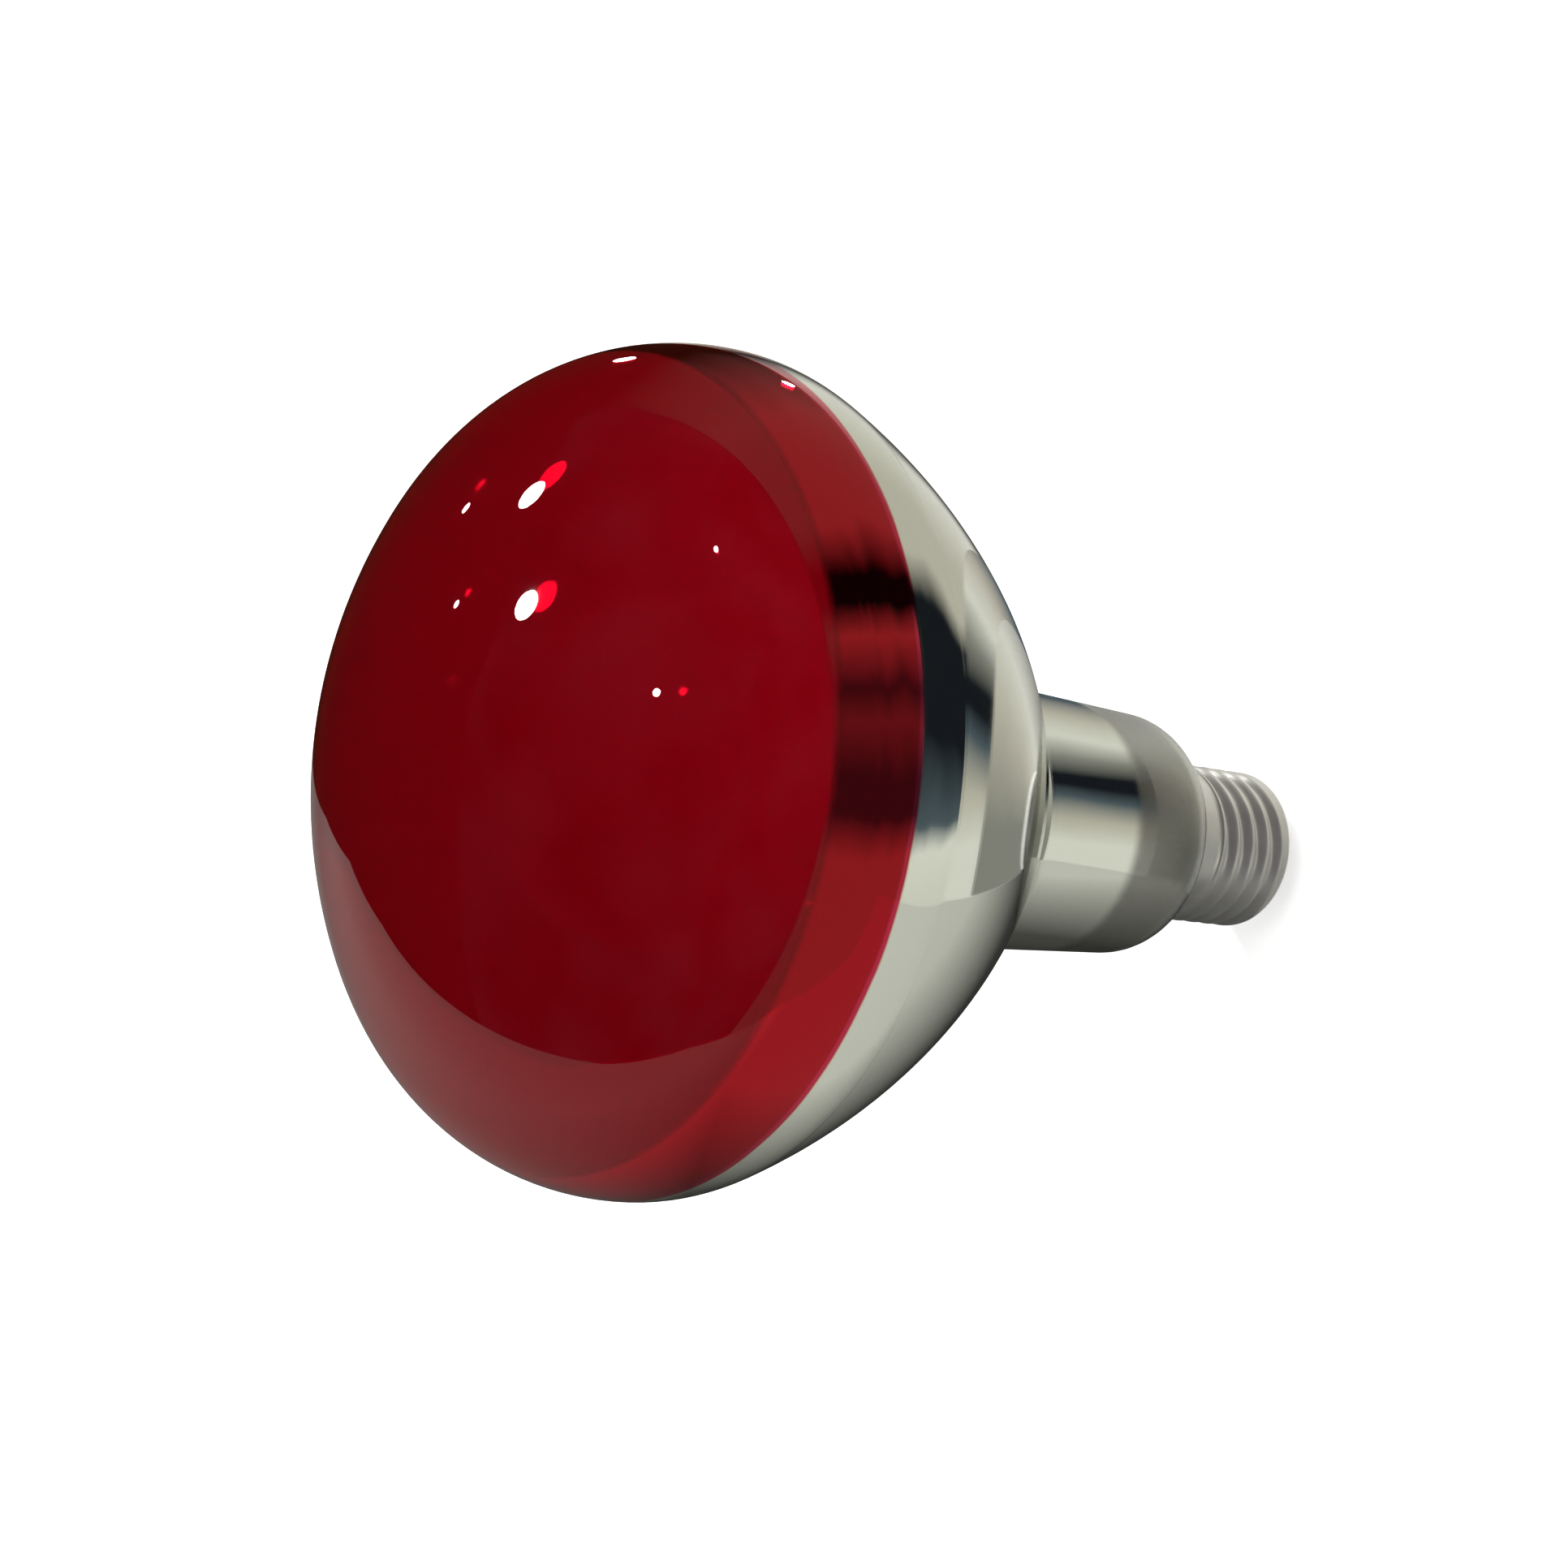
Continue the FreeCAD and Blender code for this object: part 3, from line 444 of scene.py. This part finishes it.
mirrored_glass, tree, shader, place = new_material("blown_glass_aluminium_mirror")
height = add_node(tree, "ShaderNodeSeparateXYZ", {}, {0: place}).outputs["Z"]
window = add_node(tree, "ShaderNodeMapRange", {}, {
    "Value": height, "From Min": (MIRROR_FRONT - MIRROR_FRONT_FADE / 2) * MM,
    "From Max": (MIRROR_FRONT + MIRROR_FRONT_FADE / 2) * MM}).outputs[0]
heel = add_node(tree, "ShaderNodeMapRange", {"interpolation_type": "SMOOTHSTEP"}, {
    "Value": height, "From Min": (MIRROR_BACK + MIRROR_BACK_FADE / 2) * MM,
    "From Max": (MIRROR_BACK - MIRROR_BACK_FADE / 2) * MM}).outputs[0]
thinned = add_node(tree, "ShaderNodeMapRange", {}, {
    "Value": heel, "To Min": 1.0, "To Max": HEEL_FILM}).outputs[0]
silvered = add_node(tree, "ShaderNodeMapRange", {}, {"Value": window, "To Min": thinned, "To Max": 0.0})
clearness = add_node(tree, "ShaderNodeMapRange", {}, {
    "Value": window, "To Min": 1.0, "To Max": WINDOW_CLEARNESS})
# Bright aluminium reads as silver, the thin film behind it as smoke, and the frosting as pale grey.
smoky = add_node(tree, "ShaderNodeMix", {"data_type": "RGBA"}, {
    0: heel, MIX_A: colour("#DEDFD8"), MIX_B: colour("#B4B3AD")})
film = add_node(tree, "ShaderNodeMix", {"data_type": "RGBA"}, {
    0: window, MIX_A: smoky.outputs[MIX_RESULT], MIX_B: colour("#C2C2BE")})
haze = add_node(tree, "ShaderNodeTexNoise", {}, {
    "Vector": place, "Scale": per_mm(HAZE_WIDTH), "Detail": 5.0})
clouding = add_node(tree, "ShaderNodeMapRange", {}, {
    "Value": haze.outputs["Fac"], "From Min": HAZE_RANGE[0], "From Max": HAZE_RANGE[1],
    "To Min": HAZE_ROUGHNESS[0], "To Max": HAZE_ROUGHNESS[1]})
dulled = add_node(tree, "ShaderNodeMath", {"operation": "MULTIPLY_ADD"}, {
    0: heel, 1: HEEL_HAZE, 2: clouding.outputs[0]})
tree.links.new(film.outputs[MIX_RESULT], shader.inputs["Base Color"])
tree.links.new(silvered.outputs[0], shader.inputs["Metallic"])
tree.links.new(clearness.outputs[0], shader.inputs["Transmission Weight"])
tree.links.new(dulled.outputs[0], shader.inputs["Roughness"])
shader.inputs["IOR"].default_value = GLASS_IOR
bulb.data.materials.append(lacquered_glass)
bulb.data.materials.append(mirrored_glass)
print(mirrored_glass.name)

# %% [markdown]
# ## Nickel plate
# The cap is brass with a satin nickel plate, which looks mid grey and faintly warm. The rollers leave fine
# lines round it, and handling leaves small dull stains. The lines are noise squeezed along the axis, so
# they run round the cap; they drive the roughness and a slight bump. A thin dull skin scatters a little
# light, so Metallic stays just below one and the grooves look grey instead of black.

# %% Make the cap's nickel
# Real rolling lines are finer; these are as coarse as they need to be to show.
LINE_LENGTH = 12
LINE_WIDTH = 0.25
STAIN_WIDTH = 4
NICKEL_ROUGHNESS = (0.25, 0.42)
NICKEL_METALLIC = 0.88
LINE_DEPTH = 0.02
LINE_STRENGTH = 0.3

nickel, tree, shader, place = new_material("satin_nickel_plate_rolled")
squeezed = add_node(tree, "ShaderNodeMapping", {}, {
    "Vector": place, "Scale": (per_mm(LINE_LENGTH), per_mm(LINE_LENGTH), per_mm(LINE_WIDTH))})
lines = add_node(tree, "ShaderNodeTexNoise", {}, {
    "Vector": squeezed.outputs[0], "Scale": 1.0, "Detail": 4.0})
stain = add_node(tree, "ShaderNodeTexNoise", {}, {
    "Vector": place, "Scale": per_mm(STAIN_WIDTH), "Detail": 5.0})
tone = add_node(tree, "ShaderNodeMix", {"data_type": "RGBA"}, {
    0: stain.outputs["Fac"], MIX_A: colour("#C6C6C1"), MIX_B: colour("#E8E8E3")})
gloss = add_node(tree, "ShaderNodeMapRange", {}, {
    "Value": lines.outputs["Fac"], "To Min": NICKEL_ROUGHNESS[0], "To Max": NICKEL_ROUGHNESS[1]})
ripple = add_node(tree, "ShaderNodeBump", {}, {
    "Height": lines.outputs["Fac"], "Distance": LINE_DEPTH * MM, "Strength": LINE_STRENGTH})
tree.links.new(tone.outputs[MIX_RESULT], shader.inputs["Base Color"])
tree.links.new(gloss.outputs[0], shader.inputs["Roughness"])
tree.links.new(ripple.outputs[0], shader.inputs["Normal"])
shader.inputs["Metallic"].default_value = NICKEL_METALLIC
cap.data.materials.append(nickel)
print(nickel.name)

# %% [markdown]
# ## The pieces that keep their solids
# The insulator is black cast glass, the contact stamped brass, and both wires end in dull tin solder. The
# stem, its tube and the rod are clear glass. The wires are drawn metal, and the disc that keeps heat from
# the stem is bright aluminium. Each finish gets its colour, its gloss and one pattern that breaks both up.
# Real draw marks and wrinkles are finer still; these are drawn as coarse as they need to be to show.

# %% Make the small pieces' finishes
def plain_finish(name, dark, light, grain, rough, metallic=0.0, bump=0.0):
    """A finish with one cloudy pattern between two colours and two roughnesses."""
    material, tree, shader, place = new_material(name)
    cloud = add_node(tree, "ShaderNodeTexNoise", {}, {
        "Vector": place, "Scale": per_mm(grain), "Detail": 6.0}).outputs["Fac"]
    tone = add_node(tree, "ShaderNodeMix", {"data_type": "RGBA"}, {
        0: cloud, MIX_A: colour(dark), MIX_B: colour(light)})
    gloss = add_node(tree, "ShaderNodeMapRange", {}, {
        "Value": cloud, "To Min": rough[0], "To Max": rough[1]})
    relief = add_node(tree, "ShaderNodeBump", {}, {"Height": cloud, "Distance": bump * MM})
    tree.links.new(tone.outputs[MIX_RESULT], shader.inputs["Base Color"])
    tree.links.new(gloss.outputs[0], shader.inputs["Roughness"])
    tree.links.new(relief.outputs[0], shader.inputs["Normal"])
    shader.inputs["Metallic"].default_value = metallic
    return material


# Cast black glass: deep and glossy, with flow marks.
black_glass = plain_finish("cast_black_glass", "#08080A", "#1B1A1E", 3.0, (0.08, 0.3), bump=0.05)
# Stamped brass: warm, dulled by handling.
brass = plain_finish("stamped_brass", "#A98746", "#D9BE7C", 2.5, (0.25, 0.45), 1.0, 0.02)
# Tin solder: soft grey with a frosty, wrinkled skin.
solder = plain_finish("dull_tin_solder", "#8E8E90", "#C9C9CB", 0.8, (0.3, 0.55), 0.75, 0.06)
# Baked cement: chalky and sandy.
cement = plain_finish("baked_cement", "#9C8A6C", "#CDBD9E", 0.5, (0.8, 0.95), 0.0, 0.08)
# Drawn nickel wire: bright grey, with draw marks.
nickel_wire = plain_finish("drawn_nickel_wire", "#8F8D88", "#C2C0BA", 0.4, (0.2, 0.4), 1.0, 0.01)
# Drawn copper wire: salmon, slightly browned by heat.
copper_wire = plain_finish("drawn_copper_wire", "#9A5230", "#D98B62", 0.6, (0.25, 0.45), 1.0, 0.01)
# Molybdenum wire: darker and duller than nickel.
molybdenum = plain_finish("drawn_molybdenum_wire", "#6C6C6E", "#98989B", 0.4, (0.3, 0.5), 1.0, 0.01)
# Tungsten: nearly black after drawing, with a silky gloss.
tungsten = plain_finish("coiled_tungsten_wire", "#3A3A3E", "#66666B", 0.3, (0.3, 0.5), 1.0, 0.005)
# Aluminium sheet: bright, with rolling haze.
aluminium = plain_finish("stamped_bright_aluminium", "#C9CBCD", "#EDEFF0", 1.2, (0.12, 0.3), 1.0, 0.01)

# Drawn glass tube: clear, faintly green, with slow waves from the drawing.
TUBE_WAVE_WIDTH = 5
TUBE_WAVE_DEPTH = 0.1
TUBE_WAVE_STRENGTH = 0.4
clear_glass, tree, shader, place = new_material("drawn_clear_glass")
waves = add_node(tree, "ShaderNodeTexNoise", {}, {
    "Vector": place, "Scale": per_mm(TUBE_WAVE_WIDTH), "Detail": 2.0})
draw_marks = add_node(tree, "ShaderNodeBump", {}, {
    "Height": waves.outputs["Fac"], "Distance": TUBE_WAVE_DEPTH * MM, "Strength": TUBE_WAVE_STRENGTH})
tree.links.new(draw_marks.outputs[0], shader.inputs["Normal"])
shader.inputs["Base Color"].default_value = colour("#EEF4EF")
shader.inputs["Roughness"].default_value = 0.02
shader.inputs["Transmission Weight"].default_value = 1.0
shader.inputs["IOR"].default_value = 1.52
print("small finishes made")

# %% Give each node its finish
FINISHES = {
    "insulator": black_glass, "centre_contact": brass, "contact_solder": solder, "rim_solder": solder,
    "basing_cement": cement, "stem_flare": clear_glass, "exhaust_tube": clear_glass,
    "arbor_rod": clear_glass, "seal_wire_a": nickel_wire, "seal_wire_b": nickel_wire,
    "inner_lead_a": nickel_wire, "inner_lead_b": nickel_wire, "outer_lead_contact": copper_wire,
    "outer_lead_shell": copper_wire, "heat_deflector": aluminium, "support_wire_1": molybdenum,
    "support_wire_2": molybdenum, "support_wire_3": molybdenum, "support_wire_4": molybdenum,
}
for node, finish in FINISHES.items():
    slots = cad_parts[node].data.materials
    slots.clear()
    slots.append(finish)
filament.data.materials.append(tungsten)
print(len(FINISHES), "nodes finished")

# %% [markdown]
# ## White floor and sky
# The studio is plain and white. Rays that look at something, from the camera or by way of gloss or glass,
# find a full white sky and a floor that glows a little; the light that only falls on the lamp comes from a
# calmer sky. So the background is white, metal and glass show it too, and the floor keeps the lamp's soft
# shadow. A white picture behind the lamp would be simpler, but the mirror would not know of it.

# %% Make the world and the floor
SKY_FILL = 0.5
SKY_WHITE = 1.0
FLOOR_RADIUS = 6.0
FLOOR_DROP = 0.1
FLOOR_GLOW = 0.62


def seen_rays(tree):
    """One for rays that look at something, from the camera or by way of gloss or glass."""
    path = add_node(tree, "ShaderNodeLightPath", {}, {}).outputs
    by_gloss = add_node(tree, "ShaderNodeMath", {"operation": "ADD"}, {
        0: path["Is Camera Ray"], 1: path["Is Glossy Ray"]})
    both = {0: by_gloss.outputs[0], 1: path["Is Transmission Ray"]}
    return add_node(tree, "ShaderNodeMath", {"operation": "ADD", "use_clamp": True}, both).outputs[0]


scene = bpy.context.scene
scene.view_settings.view_transform = "Standard"
world = bpy.data.worlds.new("studio")
world.use_nodes = True
scene.world = world
tree = world.node_tree
tree.nodes.clear()
fill = add_node(tree, "ShaderNodeBackground", {}, {"Color": colour("#FFFFFF"), "Strength": SKY_FILL})
white = add_node(tree, "ShaderNodeBackground", {}, {"Color": colour("#FFFFFF"), "Strength": SKY_WHITE})
sky = add_node(tree, "ShaderNodeMixShader", {}, {
    0: seen_rays(tree), 1: fill.outputs[0], 2: white.outputs[0]})
add_node(tree, "ShaderNodeOutputWorld", {}, {"Surface": sky.outputs[0]})

floor_mesh = bmesh.new()
bmesh.ops.create_circle(
    floor_mesh, cap_ends=True, radius=FLOOR_RADIUS, segments=64,
    matrix=Matrix.Translation((0, 0, -FLOOR_DROP * MM)))
floor_data = bpy.data.meshes.new("floor")
floor_mesh.to_mesh(floor_data)
floor_mesh.free()
floor = bpy.data.objects.new("floor", floor_data)
scene.collection.objects.link(floor)
# White paper: matt and even, so the eye reads it as no more than ground.
paper, tree, shader, place = new_material("white_paper_floor")
glow = add_node(tree, "ShaderNodeMath", {"operation": "MULTIPLY"}, {0: seen_rays(tree), 1: FLOOR_GLOW})
tree.links.new(glow.outputs[0], shader.inputs["Emission Strength"])
shader.inputs["Emission Color"].default_value = colour("#FFFFFF")
shader.inputs["Base Color"].default_value = colour("#E4E4E2")
shader.inputs["Roughness"].default_value = 0.9
shader.inputs["Specular IOR Level"].default_value = 0.0
floor_data.materials.append(paper)
print("floor", FLOOR_RADIUS, "m")

# %% [markdown]
# ## Ceiling
# A mirror shows the room, so the room is part of the finish. Cards stand in for it: plain surfaces that
# gloss and glass can see, but neither the camera nor the floor. The ceiling is half a sphere with two
# tasks. Through the frosted lens it is a bright sky, strongest on one side, which makes the red glow. In
# the gloss of the dome that sky would wash the red out, so mirrored rays find dark clouds there instead.

# %% Make a card and hang the ceiling
CEILING_RADIUS = 2.5
BRIGHT_SIDE = (0.5, -0.85, 0)
DAYLIGHT_START = -0.3
DAYLIGHT = 3.0
CLOUD_WIDTH = 900
CLOUD_RANGE = (0.36, 0.68)


def hang_card(name, mesh, tone="#FFFFFF"):
    """Add a card that only gloss and glass can see, and return its tree, shader and coordinates."""
    data = bpy.data.meshes.new(name)
    mesh.to_mesh(data)
    mesh.free()
    card = bpy.data.objects.new(name, data)
    scene.collection.objects.link(card)
    material, tree, shader, place = new_material(name + "_face")
    shader.inputs["Base Color"].default_value = colour("#000000")
    shader.inputs["Specular IOR Level"].default_value = 0.0
    shader.inputs["Emission Color"].default_value = colour(tone)
    shader.inputs["Emission Strength"].default_value = 1.0
    data.materials.append(material)
    card.visible_camera = False
    card.visible_diffuse = False
    card.visible_shadow = False
    return tree, shader, place


ceiling = bmesh.new()
bmesh.ops.create_uvsphere(ceiling, u_segments=48, v_segments=24, radius=CEILING_RADIUS)
everything = ceiling.verts[:] + ceiling.edges[:] + ceiling.faces[:]
bmesh.ops.bisect_plane(
    ceiling, geom=everything, plane_co=(0, 0, 0), plane_no=(0, 0, -1), clear_outer=True)
tree, shader, place = hang_card("ceiling", ceiling)
side = add_node(tree, "ShaderNodeVectorMath", {"operation": "DOT_PRODUCT"}, {
    0: place, 1: BRIGHT_SIDE}).outputs["Value"]
daylight = add_node(tree, "ShaderNodeMapRange", {}, {
    "Value": side, "From Min": DAYLIGHT_START * CEILING_RADIUS, "From Max": CEILING_RADIUS,
    "To Min": 0.0, "To Max": DAYLIGHT})
mirrored = add_node(tree, "ShaderNodeLightPath", {}, {}).outputs["Is Reflection Ray"]
clouds = add_node(tree, "ShaderNodeTexNoise", {}, {
    "Vector": place, "Scale": per_mm(CLOUD_WIDTH), "Detail": 4.0})
patches = add_node(tree, "ShaderNodeMapRange", {}, {
    "Value": clouds.outputs["Fac"], "From Min": CLOUD_RANGE[0], "From Max": CLOUD_RANGE[1]})
murk = add_node(tree, "ShaderNodeMix", {"data_type": "RGBA"}, {
    0: patches.outputs[0], MIX_A: colour("#0C080A"), MIX_B: colour("#584A53")})
paint = add_node(tree, "ShaderNodeMix", {"data_type": "RGBA"}, {
    0: mirrored, MIX_A: colour("#FFFFFF"), MIX_B: murk.outputs[MIX_RESULT]})
level = add_node(tree, "ShaderNodeMapRange", {}, {
    "Value": mirrored, "To Min": daylight.outputs[0], "To Max": 1.0})
tree.links.new(paint.outputs[MIX_RESULT], shader.inputs["Emission Color"])
tree.links.new(level.outputs[0], shader.inputs["Emission Strength"])
print("ceiling", CEILING_RADIUS, "m")

# %% [markdown]
# ## Rings
# The silver back of the bulb looks down and sideways, so what it shows lies on the ground round the lamp.
# Four flat rings are spun there, the last with a low wall. Each takes a few of six plain tones by compass
# heading, from a radial gradient, and noise shakes their borders so that the mirror's light and dark zones
# run into each other like a real room's. Separate cards for each zone would need dozens of objects.

# %% Spin the rings round the lamp
TONES = {
    "white": "#F2F0E8", "pale": "#CFC9BD", "grey": "#94938D", "slate": "#56636C", "dark": "#1B1F25",
    "warm": "#4B2A1C",
}
# Each ring: its outline of radii and heights in millimetres, its level in mirrored rays, and its tones at
# headings in degrees.
RINGS = {
    "cap_ring": ([(14, 1), (57, 1)], 1.0, [
        (-180, "grey"), (-95, "grey"), (-45, "pale"), (0, "white"), (60, "grey"), (180, "grey")]),
    "neck_ring": ([(57, 1), (80, 1)], 1.0, [
        (-180, "grey"), (-165, "grey"), (-140, "white"), (-104, "white"), (-84, "pale"), (-66, "slate"),
        (-56, "dark"), (-46, "dark"), (-30, "grey"), (-12, "white"), (15, "pale"), (45, "slate"),
        (180, "grey")]),
    "bell_ring": ([(80, 1), (240, 1)], 1.0, [
        (-180, "grey"), (-150, "pale"), (-101, "white"), (-94, "slate"), (-74, "dark"), (-40, "dark"),
        (-28, "pale"), (-8, "pale"), (30, "white"), (44, "dark"), (56, "pale"), (180, "grey")]),
    "room_ring": ([(240, 1), (2300, 1), (2300, 700)], 0.4, [
        (-180, "pale"), (-104, "pale"), (-94, "slate"), (-84, "slate"), (-72, "grey"), (-64, "slate"),
        (-52, "pale"), (-44, "dark"), (-36, "dark"), (-24, "pale"), (10, "pale"), (40, "warm"),
        (140, "warm"), (180, "pale")]),
}
RING_STEPS = 96
CLUTTER = 0.3
CLUTTER_SHARE = 1.2
for name, (ends, gloss_level, headings) in RINGS.items():
    ring = bmesh.new()
    near = ends[0][0]
    tip = ring.verts.new(at(-near, ends[0][1]))
    for reach, rise in ends[1:]:
        tip = add_run(ring, tip, (-reach, rise))
    turn_outline(ring, RING_STEPS)
    tree, shader, place = hang_card(name, ring)
    clutter = add_node(tree, "ShaderNodeTexNoise", {}, {
        "Vector": place, "Scale": per_mm(near / CLUTTER_SHARE), "Detail": 1.0})
    centred = add_node(tree, "ShaderNodeVectorMath", {"operation": "SUBTRACT"}, {
        0: clutter.outputs["Color"], 1: (0.5, 0.5, 0.5)})
    shifted = add_node(tree, "ShaderNodeVectorMath", {"operation": "MULTIPLY_ADD"}, {
        0: centred.outputs[0], 1: [near * CLUTTER * MM] * 3, 2: place})
    heading = add_node(tree, "ShaderNodeTexGradient", {"gradient_type": "RADIAL"}, {
        "Vector": shifted.outputs[0]})
    ramp = add_node(tree, "ShaderNodeValToRGB", {}, {"Fac": heading.outputs["Fac"]})
    ramp.color_ramp.elements[0].color = colour(TONES[headings[0][1]])
    ramp.color_ramp.elements[1].color = colour(TONES[headings[-1][1]])
    for angle, tone in headings[1:-1]:
        ramp.color_ramp.elements.new((angle + 180) / 360).color = colour(TONES[tone])
    mirrored = add_node(tree, "ShaderNodeLightPath", {}, {}).outputs["Is Reflection Ray"]
    level = add_node(tree, "ShaderNodeMapRange", {}, {
        "Value": mirrored, "To Min": 1.0, "To Max": gloss_level})
    tree.links.new(ramp.outputs["Color"], shader.inputs["Emission Color"])
    tree.links.new(level.outputs[0], shader.inputs["Emission Strength"])
print(len(RINGS), "rings round the lamp")

# %% [markdown]
# ## Table and wall
# A lamp that lies on its side shows the table it lies on as a pale crescent along its lower edge. The
# table here is one flat card with rounded corners, set at that slope. Its glow holds a painted contact
# shadow: on both sides it darkens towards the line where the lamp would touch it. Painted light also
# brightens it towards its front edge. It is dimmer in mirrored rays than through the glass, so that the
# crescent stays red. A dark brown wall behind closes the room.

# %% Set the table and the wall
TABLE_UP = Vector((0.8736, -0.2910, 0.3901)).normalized()
TABLE_DROP = -11.0
TABLE_OUTLINE = [
    (-5, -150), (178, -152), (216, -134), (228, -87), (229, -25), (229, 42), (208, 97), (165, 155),
    (100, 195), (20, 341), (-5, 380)]
# The painted contact shadow on the table card: its slant, its reach, and its shaded and full levels.
CONTACT_SLANT = 0.22
CONTACT_SHADOW_REACH = 50
CONTACT_SHADOW_LEVELS = (0.12, 0.94)
FAR_REACH = (-30, -85)
# Painted light on the table card: where its glow starts and stops rising, and how high it goes.
FRONT_LIGHT_REACH = (130, 190)
FRONT_LIGHT_LEVEL = 1.8
MIRRORED_LEVEL = 0.3
WALL_CORNERS = [(-1800, 1500, 5), (1300, 1300, 5), (1300, 1300, 2000), (-1800, 1500, 2000)]


def flat_card(name, corners, tone):
    """Add a card with one face between corners given in millimetres."""
    mesh = bmesh.new()
    mesh.faces.new([mesh.verts.new(Vector(corner) * MM) for corner in corners])
    return hang_card(name, mesh, tone)


flat_card("warm_wall", WALL_CORNERS, "#22130E")
along = (Vector(AXIS) - TABLE_UP * TABLE_UP.z).normalized()
across = TABLE_UP.cross(along)
table_corners = [TABLE_UP * TABLE_DROP + along * a + across * b for a, b in TABLE_OUTLINE]
tree, shader, place = flat_card("table_card", table_corners, "#E6E4DE")
slant = add_node(tree, "ShaderNodeVectorMath", {"operation": "DOT_PRODUCT"}, {
    0: place, 1: across - along * CONTACT_SLANT})
# Painted contact shadow: the glow darkens towards the line where the lamp would touch the table.
contact = add_node(tree, "ShaderNodeMapRange", {}, {
    "Value": slant.outputs["Value"], "From Max": CONTACT_SHADOW_REACH * MM,
    "To Min": CONTACT_SHADOW_LEVELS[0], "To Max": CONTACT_SHADOW_LEVELS[1]})
# Painted light: the glow brightens towards the table's front edge.
forward = add_node(tree, "ShaderNodeVectorMath", {"operation": "DOT_PRODUCT"}, {0: place, 1: along})
front = add_node(tree, "ShaderNodeMapRange", {}, {
    "Value": forward.outputs["Value"], "From Min": FRONT_LIGHT_REACH[0] * MM, "From Max": FRONT_LIGHT_REACH[1] * MM,
    "To Max": FRONT_LIGHT_LEVEL})
# On the far side the painted contact shadow fades back up to the full level.
far = add_node(tree, "ShaderNodeMapRange", {}, {
    "Value": slant.outputs["Value"], "From Min": FAR_REACH[0] * MM, "From Max": FAR_REACH[1] * MM,
    "To Max": CONTACT_SHADOW_LEVELS[1]})
ground = add_node(tree, "ShaderNodeMath", {"operation": "MAXIMUM"}, {
    0: contact.outputs[0], 1: far.outputs[0]})
lit = add_node(tree, "ShaderNodeMath", {"operation": "MAXIMUM"}, {
    0: ground.outputs[0], 1: front.outputs[0]})
mirrored = add_node(tree, "ShaderNodeLightPath", {}, {}).outputs["Is Reflection Ray"]
dimming = add_node(tree, "ShaderNodeMapRange", {}, {
    "Value": mirrored, "To Min": 1.0, "To Max": MIRRORED_LEVEL})
shade = add_node(tree, "ShaderNodeMath", {"operation": "MULTIPLY"}, {
    0: lit.outputs[0], 1: dimming.outputs[0]})
tree.links.new(shade.outputs[0], shader.inputs["Emission Strength"])
print("table and wall set")

# %% [markdown]
# ## Lamps
# One large soft lamp gives the body its light. Neither gloss nor glass sees it, because its disc would
# show on the dome. A few small round lamps do the opposite: they are too weak to light anything, and are
# there to be seen as crisp sparkles on the lacquer. Their power follows their area, so all are as bright.

# %% Hang the lamps
KEY_PLACE = (0.6, -0.5, 1.6)
KEY_SIZE = 1.2
KEY_POWER = 22.0
SPARKLE_POWER = 234.375
# Each small lamp: its direction from the middle of the bulb, and its distance and width in metres.
SPARKLES = [
    ((0.591, 0.649, 0.479), 1.3, 0.105), ((0.399, 0.470, 0.788), 1.3, 0.115),
    ((0.712, -0.122, 0.692), 1.3, 0.035), ((0.255, -0.140, 0.957), 1.3, 0.035),
    ((0.451, 0.842, 0.295), 1.3, 0.03), ((0.323, 0.739, 0.592), 1.3, 0.025),
    ((0.670, 0.705, -0.231), 0.45, 0.024), ((0.841, 0.318, -0.437), 0.24, 0.009),
]


def add_lamp(name, place, target, size, watts, seen):
    """A round area lamp that faces a target, seen in gloss and glass or not."""
    data = bpy.data.lights.new(name, "AREA")
    data.shape = "DISK"
    data.size = size
    data.energy = watts
    lamp = bpy.data.objects.new(name, data)
    lamp.location = place
    lamp.rotation_euler = (Vector(target) - Vector(place)).to_track_quat("-Z", "Y").to_euler()
    lamp.visible_camera = False
    lamp.visible_glossy = seen
    lamp.visible_transmission = seen
    scene.collection.objects.link(lamp)


bulb_centre = Vector((0, 0, widest_z * MM))
add_lamp("soft_key", KEY_PLACE, bulb_centre, KEY_SIZE, KEY_POWER, False)
for number, (direction, distance, size) in enumerate(SPARKLES):
    spot = bulb_centre + Vector(direction) * distance
    add_lamp(f"sparkle_{number}", spot, bulb_centre, size, SPARKLE_POWER * size * size, True)
print(len(SPARKLES), "small lamps")
